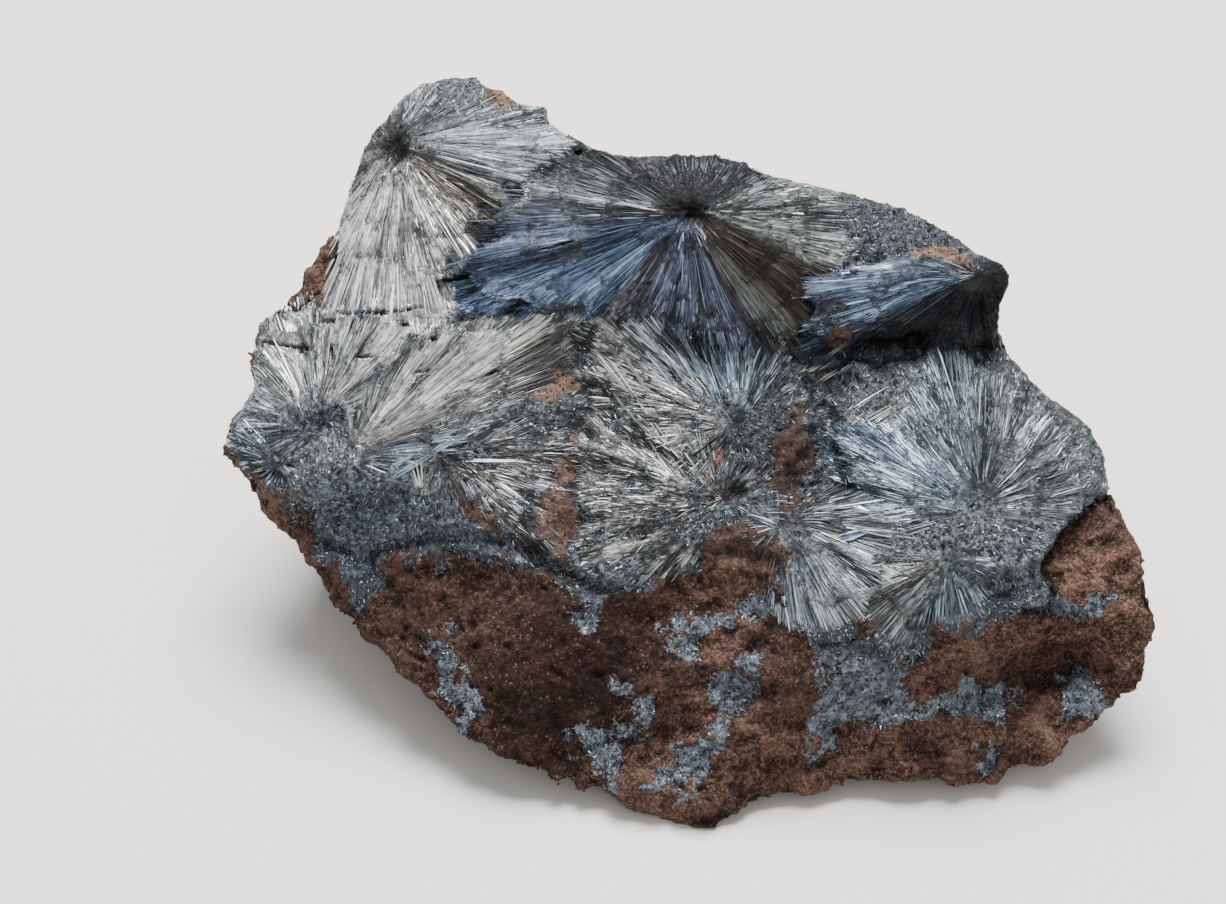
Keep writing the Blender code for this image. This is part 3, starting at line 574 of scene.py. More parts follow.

# Each spray: its centre, how long and how wide its needles are, how far they stray from straight
# rays (degrees), how much of it is broken to grainy ground, how wide its dark core is, its reach by
# bearing, and its colours by bearing: degrees, the usual colour, the colour of its bright needles,
# and how strongly needles differ.
# The colours by bearing paint the needles' sheen: a painted reflection that changes with the way the
# needles run, with the bright needles as painted glints.
SPRAYS = {
    "crown_fan": dict(
        centre=(0.5, 39.5), length=(2.5, 8.0), width=(0.07, 0.17), stray=2.0, broken=0.0, core=0.6,
        reach=((2, 15.5), (21, 13.0), (43, 9.0), (90, 6.2), (114, 6.2), (132, 8.5), (144, 13.4),
               (158, 16.0), (168, 18.0), (177, 20.5), (191, 24.0), (199, 25.0), (206, 21.0), (217, 16.0),
               (228, 13.0), (246, 11.5), (275, 11.8), (295, 14.5), (310, 17.5), (324, 14.5),
               (344, 15.0)),
        colors=((0, "#858d8e", "#c6cbca", 0.9), (18, "#666d70", "#9ba1a1", 0.7),
                (32, "#36393e", "#484b52", 0.15), (90, "#33353b", "#43464d", 0.15),
                (140, "#35373a", "#484b4e", 0.2), (156, "#434648", "#5d6265", 0.3),
                (166, "#505457", "#7c8184", 0.6), (171, "#777d82", "#dcdfe0", 0.9),
                (176, "#52575e", "#8b929c", 0.7), (186, "#5f6a7d", "#8f9cb3", 0.7),
                (192, "#66748b", "#9dacc2", 0.7), (194, "#3f4b5f", "#6c7e98", 0.6),
                (197, "#506079", "#879bbc", 0.7), (201, "#7187a9", "#adc1e0", 0.8),
                (224, "#798fb3", "#b6c9e9", 0.8), (229, "#5b5154", "#a2a8b8", 0.8),
                (236, "#57545f", "#96a2bb", 0.8), (262, "#5e647a", "#99a6c4", 0.7),
                (292, "#535868", "#8791aa", 0.7), (302, "#4b4749", "#77767b", 0.6),
                (308, "#6a716d", "#9ba29c", 0.6), (314, "#443d39", "#69615d", 0.5),
                (334, "#4f4540", "#7c736d", 0.5), (342, "#5f615e", "#949c98", 0.7),
                (350, "#828a88", "#c5cac7", 0.9))),
    "lobe_spray": dict(
        centre=(-29.0, 47.0), length=(2.5, 8.0), width=(0.08, 0.21), stray=3.0, broken=0.12, core=1.5,
        reach=((1, 18.0), (18, 14.5), (41, 11.5), (57, 9.0), (77, 6.0), (106, 3.0), (160, 2.5),
               (209, 4.5), (233, 9.0), (248, 17.5), (266, 18.5), (288, 18.0), (294, 15.0),
               (312, 12.5), (331, 12.5), (345, 14.0)),
        colors=((0, "#afb7bb", "#e4ebf1", 0.8), (12, "#a9b1b6", "#dee6ec", 0.8),
                (28, "#6f7275", "#a4a8aa", 0.7), (110, "#696b6e", "#a0a3a4", 0.7),
                (215, "#74746f", "#b6b6b2", 0.7), (240, "#b3b6b5", "#f0f0ed", 0.9),
                (300, "#b6b9b8", "#f2f2ee", 0.9), (314, "#807c75", "#c8c4bb", 0.8),
                (334, "#5e5a55", "#9a968e", 0.8), (345, "#969da1", "#d4dbe0", 0.8))),
    "block_spray": dict(
        centre=(29.0, 34.0), length=(2.0, 7.0), width=(0.07, 0.17), stray=2.5, broken=0.0, core=0.5,
        reach=((60, 1.6), (150, 3.0), (176, 10.0), (182, 17.0), (192, 18.5), (203, 18.5),
               (218, 11.0), (244, 8.0), (280, 7.5), (300, 4.0)),
        colors=((90, "#3a3c40", "#6c7076", 0.5), (172, "#8e9eb5", "#d8e6f8", 0.8),
                (199, "#8ba4c6", "#cbdefa", 0.7), (205, "#3a3e4c", "#67728c", 0.5),
                (216, "#222328", "#3a3e47", 0.4), (300, "#1e1f23", "#33353d", 0.4))),
    "left_spray": dict(
        centre=(-35.8, 19.3), length=(2.0, 7.5), width=(0.08, 0.22), stray=3.5, broken=0.3, core=0.3,
        reach=((6, 3.0), (30, 5.0), (40, 9.0), (50, 13.0), (60, 14.5), (82, 13.5), (117, 13.0),
               (128, 10.8), (150, 9.0), (185, 9.5), (206, 6.0), (233, 3.2), (262, 2.8),
               (299, 2.8), (345, 3.0)),
        colors=((0, "#8b8f91", "#cfd1d0", 0.8), (50, "#b1b4b4", "#f5f5f2", 1.0),
                (80, "#adb1b3", "#f2f3f1", 1.0), (110, "#a1a5a7", "#ebedec", 0.9),
                (140, "#a9aeaf", "#ebeeee", 0.9), (160, "#858a8e", "#d2d8dc", 0.9),
                (190, "#66707b", "#b9c4d0", 0.8), (250, "#5b6168", "#a9afb4", 0.8),
                (340, "#666a6e", "#b0b4b6", 0.8))),
    "long_spray": dict(
        centre=(-32.6, 16.2), length=(2.0, 8.0), width=(0.08, 0.22), stray=2.0, broken=0.15, core=0.2,
        reach=((330, 3.0), (350, 6.0), (8, 12.5), (14, 15.5), (22, 22.0), (30, 24.5), (40, 21.0),
               (50, 16.0), (58, 14.5), (64, 13.0), (72, 10.0), (80, 6.0), (120, 2.2), (250, 2.2)),
        colors=((0, "#6b7480", "#a5b3c2", 0.8), (12, "#7a838b", "#b5c2ce", 0.8),
                (18, "#6f7072", "#b0b1b0", 0.7), (26, "#7a7a78", "#c2c1bd", 0.7),
                (31, "#9a9a98", "#dad9d5", 0.7), (35, "#c3c4c2", "#f7f7f3", 0.9),
                (45, "#c7c9c7", "#fafaf6", 0.9), (56, "#c0c3c2", "#fafaf7", 0.9),
                (62, "#7b7f80", "#c6c8c7", 0.9), (120, "#6c7075", "#b0b4b6", 0.8))),
    "corner_spray": dict(
        centre=(-39.6, 15.4), length=(1.5, 4.5), width=(0.09, 0.28), stray=3.0, broken=0.1, core=0.2,
        reach=((40, 1.5), (90, 3.0), (120, 5.0), (140, 6.5), (185, 7.0), (205, 4.5), (230, 2.0)),
        colors=((90, "#6d7681", "#b6c0ca", 0.8), (140, "#6a7582", "#c8d2dd", 1.0),
                (185, "#5b6775", "#a9b9cb", 0.9))),
    "upper_middle_spray": dict(
        centre=(5.0, 19.5), length=(1.2, 4.4), width=(0.07, 0.20), stray=7.0, broken=0.55, core=0.6,
        reach=((18, 8.0), (50, 9.0), (80, 8.0), (110, 9.0), (142, 16.0), (153, 18.0), (168, 14.5),
               (186, 9.5), (235, 6.0), (322, 7.0)),
        colors=((0, "#4f555b", "#8a9197", 0.8), (60, "#626b72", "#a0abb3", 0.8),
                (95, "#667583", "#a6b8c9", 0.8), (125, "#6a727b", "#bcc4ca", 0.9),
                (150, "#6f7376", "#d3d3cf", 1.0), (185, "#5f6266", "#c2c2c0", 1.0),
                (250, "#4a5056", "#8a9096", 0.8))),
    "lower_middle_spray": dict(
        centre=(3.8, 12.0), length=(1.0, 3.6), width=(0.07, 0.18), stray=9.0, broken=0.6, core=0.6,
        reach=((0, 6.5), (90, 4.0), (144, 14.5), (161, 15.0), (188, 13.5), (216, 15.0),
               (230, 12.5), (240, 6.5), (318, 5.0)),
        colors=((0, "#4b5157", "#868d92", 0.8), (140, "#5f6264", "#c4c4c0", 1.0),
                (180, "#5b5d60", "#bdbdb9", 1.0), (205, "#5b5e61", "#c9c9c4", 1.0),
                (228, "#6b6f71", "#dededa", 1.0), (270, "#4f555c", "#959ba1", 0.8))),
    "right_spray": dict(
        centre=(28.0, 11.0), length=(2.0, 7.0), width=(0.07, 0.16), stray=5.0, broken=0.5, core=0.1,
        reach=((10, 12.0), (29, 13.5), (43, 14.0), (59, 12.5), (78, 14.5), (104, 15.5),
               (120, 12.5), (132, 11.2), (142, 13.5), (151, 16.8), (171, 12.0), (198, 8.0),
               (243, 6.5), (294, 7.0), (321, 8.0), (353, 9.5)),
        colors=((5, "#6d7478", "#acb2b5", 0.7), (40, "#686f72", "#b1b7b8", 0.7),
                (75, "#50585b", "#7f8889", 0.6), (105, "#525d63", "#84919b", 0.6),
                (124, "#6a7680", "#a6b3bd", 0.7), (140, "#708093", "#b0c0d2", 0.8),
                (165, "#6a7988", "#afbdcb", 0.9), (195, "#596067", "#a0a7ac", 0.8),
                (270, "#4d5459", "#8d9397", 0.8), (340, "#5c6367", "#9da3a5", 0.8))),
    "lower_spray": dict(
        centre=(8.9, 10.0), length=(2.0, 7.0), width=(0.08, 0.20), stray=2.5, broken=0.15, core=0.4,
        reach=((38, 3.0), (159, 3.0), (239, 5.0), (263, 7.5), (274, 10.0), (296, 11.5),
               (316, 12.0), (330, 11.5), (349, 14.0)),
        colors=((30, "#5d6368", "#9aa0a4", 0.8), (240, "#66707a", "#a9b2ba", 0.8),
                (268, "#87929b", "#c9d4da", 0.8), (300, "#8f9a9f", "#d2dbdf", 0.8),
                (318, "#7f878c", "#d8dddf", 0.9), (345, "#6e7376", "#c0c3c3", 0.9))),
    "lower_right_spray": dict(
        centre=(24.6, 6.5), length=(1.6, 5.5), width=(0.08, 0.20), stray=3.5, broken=0.3, core=0.4,
        reach=((40, 3.0), (138, 3.5), (171, 6.0), (202, 8.5), (238, 10.0), (264, 7.5), (305, 6.0)),
        colors=((40, "#5d646a", "#9aa1a6", 0.7), (170, "#85878a", "#dcdbd8", 0.8),
                (205, "#97999b", "#e0e0dd", 0.7), (232, "#8b8f92", "#c8cccd", 0.6),
                (245, "#62676b", "#acb1b4", 0.8), (262, "#788692", "#bfced9", 0.7))),
    "dark_spray": dict(
        centre=(-23.5, 16.5), length=(0.8, 3.4), width=(0.07, 0.15), stray=9.0, broken=0.75, core=0.4,
        reach=((1, 13.5), (25, 14.0), (43, 7.0), (150, 3.0), (220, 5.0), (243, 6.5), (276, 8.5),
               (307, 13.0), (332, 14.5)),
        colors=((0, "#505154", "#a2a2a1", 0.9), (30, "#55595f", "#9b9ea1", 0.8),
                (200, "#4a4f55", "#8d9297", 0.7), (330, "#515255", "#adadab", 0.9))),
}

# The grainy ground, where crystals are short and point anywhere: u, v, half width, half height,
# usual colour and bright flecks, which are painted glints.
GRAINY = (
    (-31.5, 9.0, 9.8, 6.6, "#49515b", "#98a1ac"), (-22.0, 8.0, 6.0, 4.0, "#464e57", "#8a949f"),
    (8.5, 17.5, 4.6, 4.6, "#2f3338", "#5f656a"), (3.0, 9.0, 4.0, 2.4, "#3c4145", "#71777b"),
    (23.0, 39.0, 8.5, 4.4, "#40464b", "#71777c"), (-20.5, 52.2, 6.0, 2.8, "#5c5f62", "#9a9c9b"),
    (35.0, 7.0, 7.0, 3.2, "#4f565d", "#a6acb1"), (27.0, 8.8, 4.0, 1.6, "#484d53", "#a9acae"),
    (21.0, 8.0, 4.0, 1.8, "#5a6166", "#a0a7ab"), (-14.5, 20.5, 3.5, 2.4, "#4a4f55", "#979c9f"),
    (-6.0, 4.5, 6.0, 2.0, "#555b62", "#9aa2a9"), (38.5, 15.0, 3.0, 4.4, "#5d6569", "#a9afb0"),
    (14.0, 21.5, 2.6, 3.0, "#3f4449", "#83898e"), (18.6, 22.4, 4.4, 2.6, "#4b5054", "#9fa29e"),
    (-35.9, 19.8, 3.4, 1.5, "#3a4048", "#9299a0"), (-34.6, 16.4, 3.4, 1.3, "#7b7f82", "#dcdedd"),
    (28.2, 10.6, 2.4, 1.5, "#4b5156", "#a2a8aa"), (16.0, 30.5, 3.6, 2.0, "#3f444a", "#7b828a"),
    (-12.0, 30.6, 3.0, 1.0, "#43484e", "#8b9196"),
)
# How the borders between sprays waver: size of the waves, their height, and a seed.
WARPS = ((5.0, 0.9, 81.0), (1.7, 0.4, 83.0))

# Cracks across the blades, sunk in and painted dark as shade in them: from u, v to u, v, and width.
CRACKS = (
    (-33.9, 30.1, -30.4, 30.2, 0.40), (-30.4, 30.2, -28.9, 30.2, 0.65), (-28.9, 30.2, -25.0, 30.9, 0.40),
    (-36.4, 29.4, -34.3, 29.4, 0.60), (-41.7, 27.4, -40.1, 27.1, 0.45), (-40.1, 27.1, -36.6, 26.6, 0.42),
    (-38.0, 26.5, -37.5, 26.4, 0.80), (-32.2, 25.8, -30.2, 25.9, 0.50), (-34.7, 27.0, -34.4, 24.4, 0.45),
    (-27.9, 29.1, -27.0, 29.0, 0.60), (-24.9, 27.6, -24.2, 27.4, 0.60), (-26.5, 24.2, -24.8, 24.5, 0.40),
    (-19.5, 24.0, -18.2, 24.4, 0.50), (-14.1, 36.1, -10.7, 37.0, 0.35), (-24.4, 33.1, -21.0, 33.8, 0.75),
)
CRACK_DEPTH = 0.5

# Pits and hollows, sunk in and painted dark as shade in them: u, v, half width, half height, depth.
PITS = (
    (-29.2, 46.9, 1.5, 2.2, 0.7), (0.5, 39.6, 0.8, 0.35, 0.2), (5.0, 12.8, 0.8, 0.7, 0.9),
    (23.4, 27.6, 2.0, 0.7, 0.8), (-16.4, 30.6, 1.2, 0.6, 0.5),
)


def on_crust_edge(edge, u, v):
    """The distance inside the crust, never small at the ledge or high up, where grey goes to the rim."""
    return np.where(off_ledge(u, v) < 0.5, np.maximum(edge, 2.5), edge)


def owners(u, v):
    """For each place: the spray it belongs to, its bearing and distance there, and how grainy it is."""
    flat = flat_points(u, v)
    for size, height, seed in WARPS:
        u = u + height * noise_at(flat, size, seed)
        v = v + height * noise_at(flat, size, seed + 9.0)
    best = np.full(len(u), 9.0)
    owner = np.zeros(len(u), int)
    bearing = np.zeros(len(u))
    away = np.zeros(len(u))
    wobble = 1.0 + 0.10 * noise_at(flat, 1.6, 4.0)
    for number, spray in enumerate(SPRAYS.values()):
        across, along = u - spray["centre"][0], v - spray["centre"][1]
        degrees = np.degrees(np.arctan2(along, across)) % 360
        distance = np.hypot(across, along)
        reach = np.interp(degrees, *zip(*spray["reach"]), period=360)
        share = distance / reach * wobble
        nearer = share < best
        best = np.where(nearer, share, best)
        owner = np.where(nearer, number, owner)
        bearing = np.where(nearer, degrees, bearing)
        away = np.where(nearer, distance, away)
    grainy = soft_step(best, 0.98, 1.12)
    broken = np.array([spray["broken"] for spray in SPRAYS.values()])[owner]
    spots = noise_at(flat, 2.4, 55.0) + 0.4 * noise_at(flat, 1.0, 57.0)
    grainy = np.maximum(grainy, soft_step(spots, 0.55 - 0.6 * broken, 0.75 - 0.6 * broken))
    for *spot, _, _ in GRAINY:
        grainy = np.maximum(grainy, 1.0 - soft_step(off_middle(u, v, *spot) * wobble, 0.5, 1.2))
    return owner, bearing, away, grainy


def grainy_colors(u, v):
    """The usual and bright colours of grainy ground at each place."""
    usual, bright, total = 0.0, 0.0, 0.0
    for middle_u, middle_v, half_u, half_v, usual_code, bright_code in GRAINY:
        away = off_middle(u, v, middle_u, middle_v, half_u + 1.5, half_v + 1.5)
        weight = (1.0 / (0.05 + away ** 2))[:, None]
        usual = usual + weight * np.array(linear(usual_code))
        bright = bright + weight * np.array(linear(bright_code))
        total = total + weight
    return usual / total, bright / total


def pit_at(u, v):
    """How deep the pits are there, in millimetres."""
    deep = np.zeros(len(u))
    for *pit, depth in PITS:
        deep = np.maximum(deep, depth * np.exp(-off_middle(u, v, *pit) ** 1.5))
    return deep


def crack_at(u, v):
    """1 inside a crack and 0 away from it."""
    dark = np.zeros(len(u))
    ragged = 0.2 * np.sin(5.1 * u + 1.7 * v) + 0.2 * np.sin(9.7 * u - 3.1 * v)
    for u1, v1, u2, v2, width in CRACKS:
        run, climb = u2 - u1, v2 - v1
        share = np.clip(((u - u1) * run + (v - v1) * climb) / (run ** 2 + climb ** 2), 0, 1)
        apart = np.hypot(u - u1 - share * run, v - v1 - share * climb)
        half = 0.42 * width * (1.0 + ragged) * (0.5 + 2.0 * share * (1.0 - share))
        dark = np.maximum(dark, 1.0 - soft_step(apart, half * 0.5, half))
    return dark


# How bright the tables' colours come out: the usual ones and the bright needles'.
USUAL_LEVEL, BRIGHT_LEVEL = 0.97, 1.27


def tint_at(u, v, owner, bearing, away, grainy, scatter):
    """The colour of a needle there, with painted reflection by bearing and painted glints by bundle, and
    scatter (about -1 to 1) makes it darker or brighter.
    """
    radians = np.radians(bearing)
    around = np.column_stack([np.cos(radians) * 8.0, np.sin(radians) * 8.0, away * 0.12 + owner * 9.7])
    bundle = 0.9 * noise_at(around, 1.0, 3.0) + 0.8 * noise_at(around * (3.1, 3.1, 1.8), 1.0, 8.0)
    usual, bright = np.zeros((len(owner), 3)), np.zeros((len(owner), 3))
    differ = np.zeros(len(owner))
    core = np.zeros(len(owner))
    for number, spray in enumerate(SPRAYS.values()):
        own = owner == number
        degrees = [row[0] for row in spray["colors"]]
        for table, column in ((usual, 1), (bright, 2)):
            shades = np.array([linear(row[column]) for row in spray["colors"]])
            for channel in range(3):
                table[own, channel] = np.interp(bearing[own], degrees, shades[:, channel], period=360)
        differ[own] = np.interp(bearing[own], degrees, [row[3] for row in spray["colors"]], period=360)
        core[own] = 1.0 - soft_step(away[own], spray["core"] * 0.4, spray["core"])
    grain = grainy[:, None]
    ground, ground_bright = grainy_colors(u, v)
    usual = usual * (1 - grain) + ground * grain
    bright = bright * (1 - grain) + ground_bright * grain
    flat = flat_points(u, v)
    mottled = 1.3 * noise_at(flat, 1.5, 44.0) + 0.9 * noise_at(flat, 0.7, 46.0)
    mottled = mottled * np.array([spray["broken"] for spray in SPRAYS.values()])[owner]
    level = differ * ((1.4 * bundle + mottled) * (1 - grainy) + scatter) - 1.6 * core
    lit = np.clip(level, 0.0, 1.0)[:, None]
    dim = np.clip(-level, 0.0, 1.6)[:, None]
    usual, bright = USUAL_LEVEL * usual, BRIGHT_LEVEL * bright
    return (usual + (bright - usual) * lit) * np.exp(-2.0 * dim)


crust = skin_of(("pyrolusite_sprays",), "crystal_crust", CRUST_VOXEL)


def drop_on(tree, u, v):
    """Where straight lines into the face first meet a skin: places, normals, and which did."""
    places = np.zeros((len(u), 3))
    normals = np.zeros((len(u), 3))
    met = np.zeros(len(u), bool)
    for number, start in enumerate(from_face(u, v, np.full(len(u), FAR_OUT))):
        place, normal, _, _ = tree.ray_cast(Vector(start), into_face)
        if place is not None:
            places[number] = place
            normals[number] = normal
            met[number] = True
    return places, normals, met


# The crust thins out to nothing just under the rock's surface along its lower edge.
SUNK = 0.35
refine(crust, looks_out)
crust_places = points_of(crust.data)
crust_front = normals_of(crust.data) @ FACE_OUT
u, v, w = to_face(crust_places)
crust_edge = inside_crust(u, v)
thin = (1.0 - soft_step(crust_edge, 0.3, BLEND)) * off_ledge(u, v)
thinned = np.flatnonzero((thin > 0.0) & (crust_front > -0.5))
rock_under, _, met = drop_on(rock_skin, u[thinned], v[thinned])
rock_under_w = to_face(rock_under)[2] - SUNK
lowered = np.where(met, np.minimum(w[thinned], rock_under_w), w[thinned])
w[thinned] += (lowered - w[thinned]) * thin[thinned]
crust.data.vertices.foreach_set("co", from_face(u, v, w).ravel())
crust.data.update()

crust_mm = points_of(crust.data) / MM
owner, bearing, away, grainy = owners(u, v)
radians = np.radians(bearing)
around = np.column_stack([np.cos(radians) * 16.0, np.sin(radians) * 16.0, away * 0.25 + owner * 5.3])
ribs = noise_at(around, 1.0, 1.0) * soft_step(away, 0.5, 3.0)
grains = 0.26 * noise_at(crust_mm, 0.9, 6.0) + 0.20 * noise_at(crust_mm, 0.5, 7.0)
broad = 0.22 * noise_at(crust_mm, 3.2, 12.0)
rise = RIB_HEIGHT * ribs * (1 - grainy) + grains * (0.25 + 0.75 * grainy) + broad
rise = rise * (1.0 - thin) - CRACK_DEPTH * crack_at(u, v) - pit_at(u, v)
push(crust.data, np.where(crust_front > -0.3, rise, 0.0))
crust_share, crust_ochre = crystal_share(on_crust_edge(crust_edge, u, v), points_of(crust.data))
keep_number(crust.data, "crystal", crust_share)
keep_number(crust.data, "ochre", crust_ochre)
keep_number(crust.data, "tone", rock_tone(points_of(crust.data)))
# Where the crust shows brown, low places in its grain are painted darker too, as shade in the crevices.
keep_number(crust.data, "height", soft_step(grains, -0.25, 0.25))
# Painted shade: the crust's skin is painted dark, as shade between the needles that lie on it, lighter on
# the ribs and darker in the grooves between them; grainy ground and steep skin, where needles don't lie,
# are painted lighter. Pits and cracks are painted darker still, as shade in them.
steep = 1.0 - soft_step(crust_front, 0.3, 0.75)
shade = 0.29 + 0.58 * grainy + 0.2 * np.clip(ribs, -1, 1) + 0.3 * steep * (1.0 - grainy)
painted_pit_and_crack_shade = (1.0 - 0.9 * crack_at(u, v)) * np.exp(-1.4 * pit_at(u, v))
tint = tint_at(u, v, owner, bearing, away, grainy, 0.6 * noise_at(crust_mm, 0.5, 31.0)) * shade[:, None]
keep_color(crust.data, "tint", tint * painted_pit_and_crack_shade[:, None])
crust.data.shade_smooth()


def ribbed_crystals(tree, place):
    """The crust's colour at each point, with its painted sheen and shade, and every small crystal in it
    darker or brighter.
    """
    grown = add(tree, READ, {}, attribute_name="tint")["Color"]
    shade = add(tree, RANGE, {0: flecks(tree, place, 0.3), 3: 0.5, 4: 1.6})[0]
    return add(tree, "ShaderNodeVectorMath", {0: grown, "Scale": shade}, operation="SCALE")["Vector"]


# Pyrolusite in mass: a silky metallic grey, darker between the blades than on them, which is painted shade.
crust_material, _ = rock_with_crystals("pyrolusite_crust", ribbed_crystals, 0.42, 0.6, 0.5, 0.15)
crust.data.materials.clear()
crust.data.materials.append(crust_material)
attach(crust, "root")
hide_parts("pyrolusite_sprays")

# The needles
# Pyrolusite grows as bundles of flat-sided needles that run out from the centre of each spray: fine
# ones about a tenth of a millimetre wide, and among them flat blades up to a third of a millimetre.
# Each is rooted in the crust and lies along it. A spray's needles are one piece, its blades another.
FINE_PER_MM2 = 42.0
BLADES_PER_MM2 = 4.2
SINK = 0.09
# How many times a crystal whose end would stand off the skin is made shorter, and by how much.
TRIES, SHORTER = 3, 0.62
# The part of the face that crystals are scattered over.
FACE_U = (-49.0, 46.0)
FACE_V = (-22.0, 57.0)


def mottled_tint(tree, millimetres, low, high):
    """The colour that each crystal or grain carries, darker and brighter by turns, and the pattern."""
    place = add(tree, "ShaderNodeTexCoord", {})["Object"]
    grown = add(tree, READ, {}, attribute_name="tint")["Color"]
    uneven = add(tree, "ShaderNodeTexNoise", {"Vector": place, "Scale": 1.0 / (millimetres * MM),
                                              "Detail": 2.0, "Roughness": 0.6})["Fac"]
    shade = add(tree, RANGE, {0: uneven, 1: 0.3, 2: 0.7, 3: low, 4: high})[0]
    shaded = add(tree, "ShaderNodeVectorMath", {0: grown, "Scale": shade}, operation="SCALE")
    return shaded["Vector"], uneven


def fine_needle():
    """A needle along +X with three sides, one long, one wide and one high, pointed at both ends."""
    bm = bmesh.new()
    bmesh.ops.create_cone(bm, cap_ends=True, segments=3, radius1=0.5, radius2=0.0, depth=0.45)
    root = min(bm.faces, key=lambda face: face.calc_center_median().z)
    end = bmesh.ops.poke(bm, faces=[root])["verts"][0]
    end.co.z -= 0.55
    lying = Matrix(((0, 0, -1, 0.225), (1, 0, 0, 0), (0, 1, 0, 0.25), (0, 0, 0, 1)))
    bmesh.ops.transform(bm, verts=bm.verts, matrix=lying)
    bmesh.ops.recalc_face_normals(bm, faces=bm.faces)
    return bm


def flat_blade():
    """A flat three-sided blade along +X, one long, one wide and one high, with a blunt point."""
    bm = bmesh.new()
    bmesh.ops.create_cone(bm, cap_ends=True, segments=3, radius1=0.34, radius2=0.5, depth=0.85)
    end = max(bm.faces, key=lambda face: face.calc_center_median().z)
    tip = bmesh.ops.poke(bm, faces=[end])["verts"][0]
    tip.co.z += 0.15
    lying = Matrix(((0, 0, 1, 0.425), (1, 0, 0, 0), (0, 1, 0, 0.25), (0, 0, 0, 1)))
    bmesh.ops.transform(bm, verts=bm.verts, matrix=lying)
    bmesh.ops.recalc_face_normals(bm, faces=bm.faces)
    return bm


def joined_copies(name, shape, laid, chosen, tints):
    """One mesh of copies of a shape, one for each chosen crystal, laid along its own direction."""
    shape.verts.ensure_lookup_table()
    corners = np.array([vert.co[:] for vert in shape.verts])
    loops = np.concatenate([[vert.index for vert in face.verts] for face in shape.faces])
    sizes = np.array([len(face.verts) for face in shape.faces])
    roots, along, up, lengths, widths, heights = [laid[key][chosen] for key in
                                                  ("root", "along", "up", "length", "width", "height")]
    count, each = len(roots), len(corners)
    aside = np.cross(up, along)
    aside /= np.linalg.norm(aside, axis=1)[:, None] + 1e-12
    up = np.cross(along, aside)
    places = (roots[:, None, :]
              + along[:, None, :] * (corners[None, :, 0:1] * lengths[:, None, None])
              + aside[:, None, :] * (corners[None, :, 1:2] * widths[:, None, None])
              + up[:, None, :] * (corners[None, :, 2:3] * heights[:, None, None]))
    mesh = bpy.data.meshes.new(name)
    mesh.vertices.add(count * each)
    mesh.vertices.foreach_set("co", places.astype(np.float32).ravel())
    all_loops = (loops[None, :] + np.arange(count)[:, None] * each).ravel()
    mesh.loops.add(len(all_loops))
    mesh.loops.foreach_set("vertex_index", all_loops.astype(np.int32))
    starts = np.concatenate([[0], np.cumsum(np.tile(sizes, count))[:-1]])
    mesh.polygons.add(len(sizes) * count)
    mesh.polygons.foreach_set("loop_start", starts.astype(np.int32))
    mesh.update(calc_edges=True)
    mesh.shade_flat()
    keep_color(mesh, "tint", np.repeat(tints[chosen], each, axis=0))
    return mesh


def lay(rng, u, v, heading, lengths, widths, flatness, rises, roll):
    """Lays crystals on the surface from u, v along a heading (degrees): a dict of arrays in metres."""
    heading = np.radians(heading)
    cos, sin = np.cos(heading), np.sin(heading)
    full = lengths
    for step in np.linspace(1.0, 0.04, 25):
        crossed = crack_at(u + step * full * cos, v + step * full * sin) > 0.5
        lengths = np.where(crossed, np.maximum((step - 0.03) * full, 0.2), lengths)
    roots, normals, met = drop_on(outer_skin, u, v)
    flat = from_face(cos, sin, np.zeros(len(u))) / MM
    flat -= normals * np.sum(flat * normals, axis=1)[:, None]
    flat /= np.linalg.norm(flat, axis=1)[:, None] + 1e-12
    tips = np.zeros((len(u), 3))
    open_ones = np.arange(len(u))
    for attempt in range(TRIES + 1):
        own = open_ones
        end_u, end_v = u[own] + lengths[own] * cos[own], v[own] + lengths[own] * sin[own]
        found, _, landed = drop_on(outer_skin, end_u, end_v)
        tangent = roots[own] + flat[own] * (lengths[own] * MM)[:, None]
        far = np.linalg.norm(found - tangent, axis=1) > (0.35 + 0.16 * lengths[own]) * MM
        stepped = ~landed | far
        tips[own] = np.where(stepped[:, None], tangent, found)
        if attempt < TRIES:
            lengths[own[stepped]] *= SHORTER
        open_ones = own[stepped]
    roots = roots - normals * SINK * MM
    tips = tips + normals * (rises * MM)[:, None]
    along = tips - roots
    real = np.linalg.norm(along, axis=1)
    along /= real[:, None] + 1e-12
    turned = np.radians(rng.uniform(-roll, roll, len(u)))
    aside = np.cross(normals, along)
    up = normals * np.cos(turned)[:, None] + aside * np.sin(turned)[:, None]
    return dict(root=roots, along=along, up=up, length=real, width=widths * MM,
                height=widths * flatness * MM, met=met)


def scattered(rng, per_mm2):
    """Random places over the face, u and v."""
    count = int((FACE_U[1] - FACE_U[0]) * (FACE_V[1] - FACE_V[0]) * per_mm2)
    return rng.uniform(*FACE_U, count), rng.uniform(*FACE_V, count)


def of_spray(owner, key):
    """A pair of numbers of each place's own spray, as two arrays, or one number as an array."""
    table = np.array([spray[key] for spray in SPRAYS.values()])
    return table[owner].T


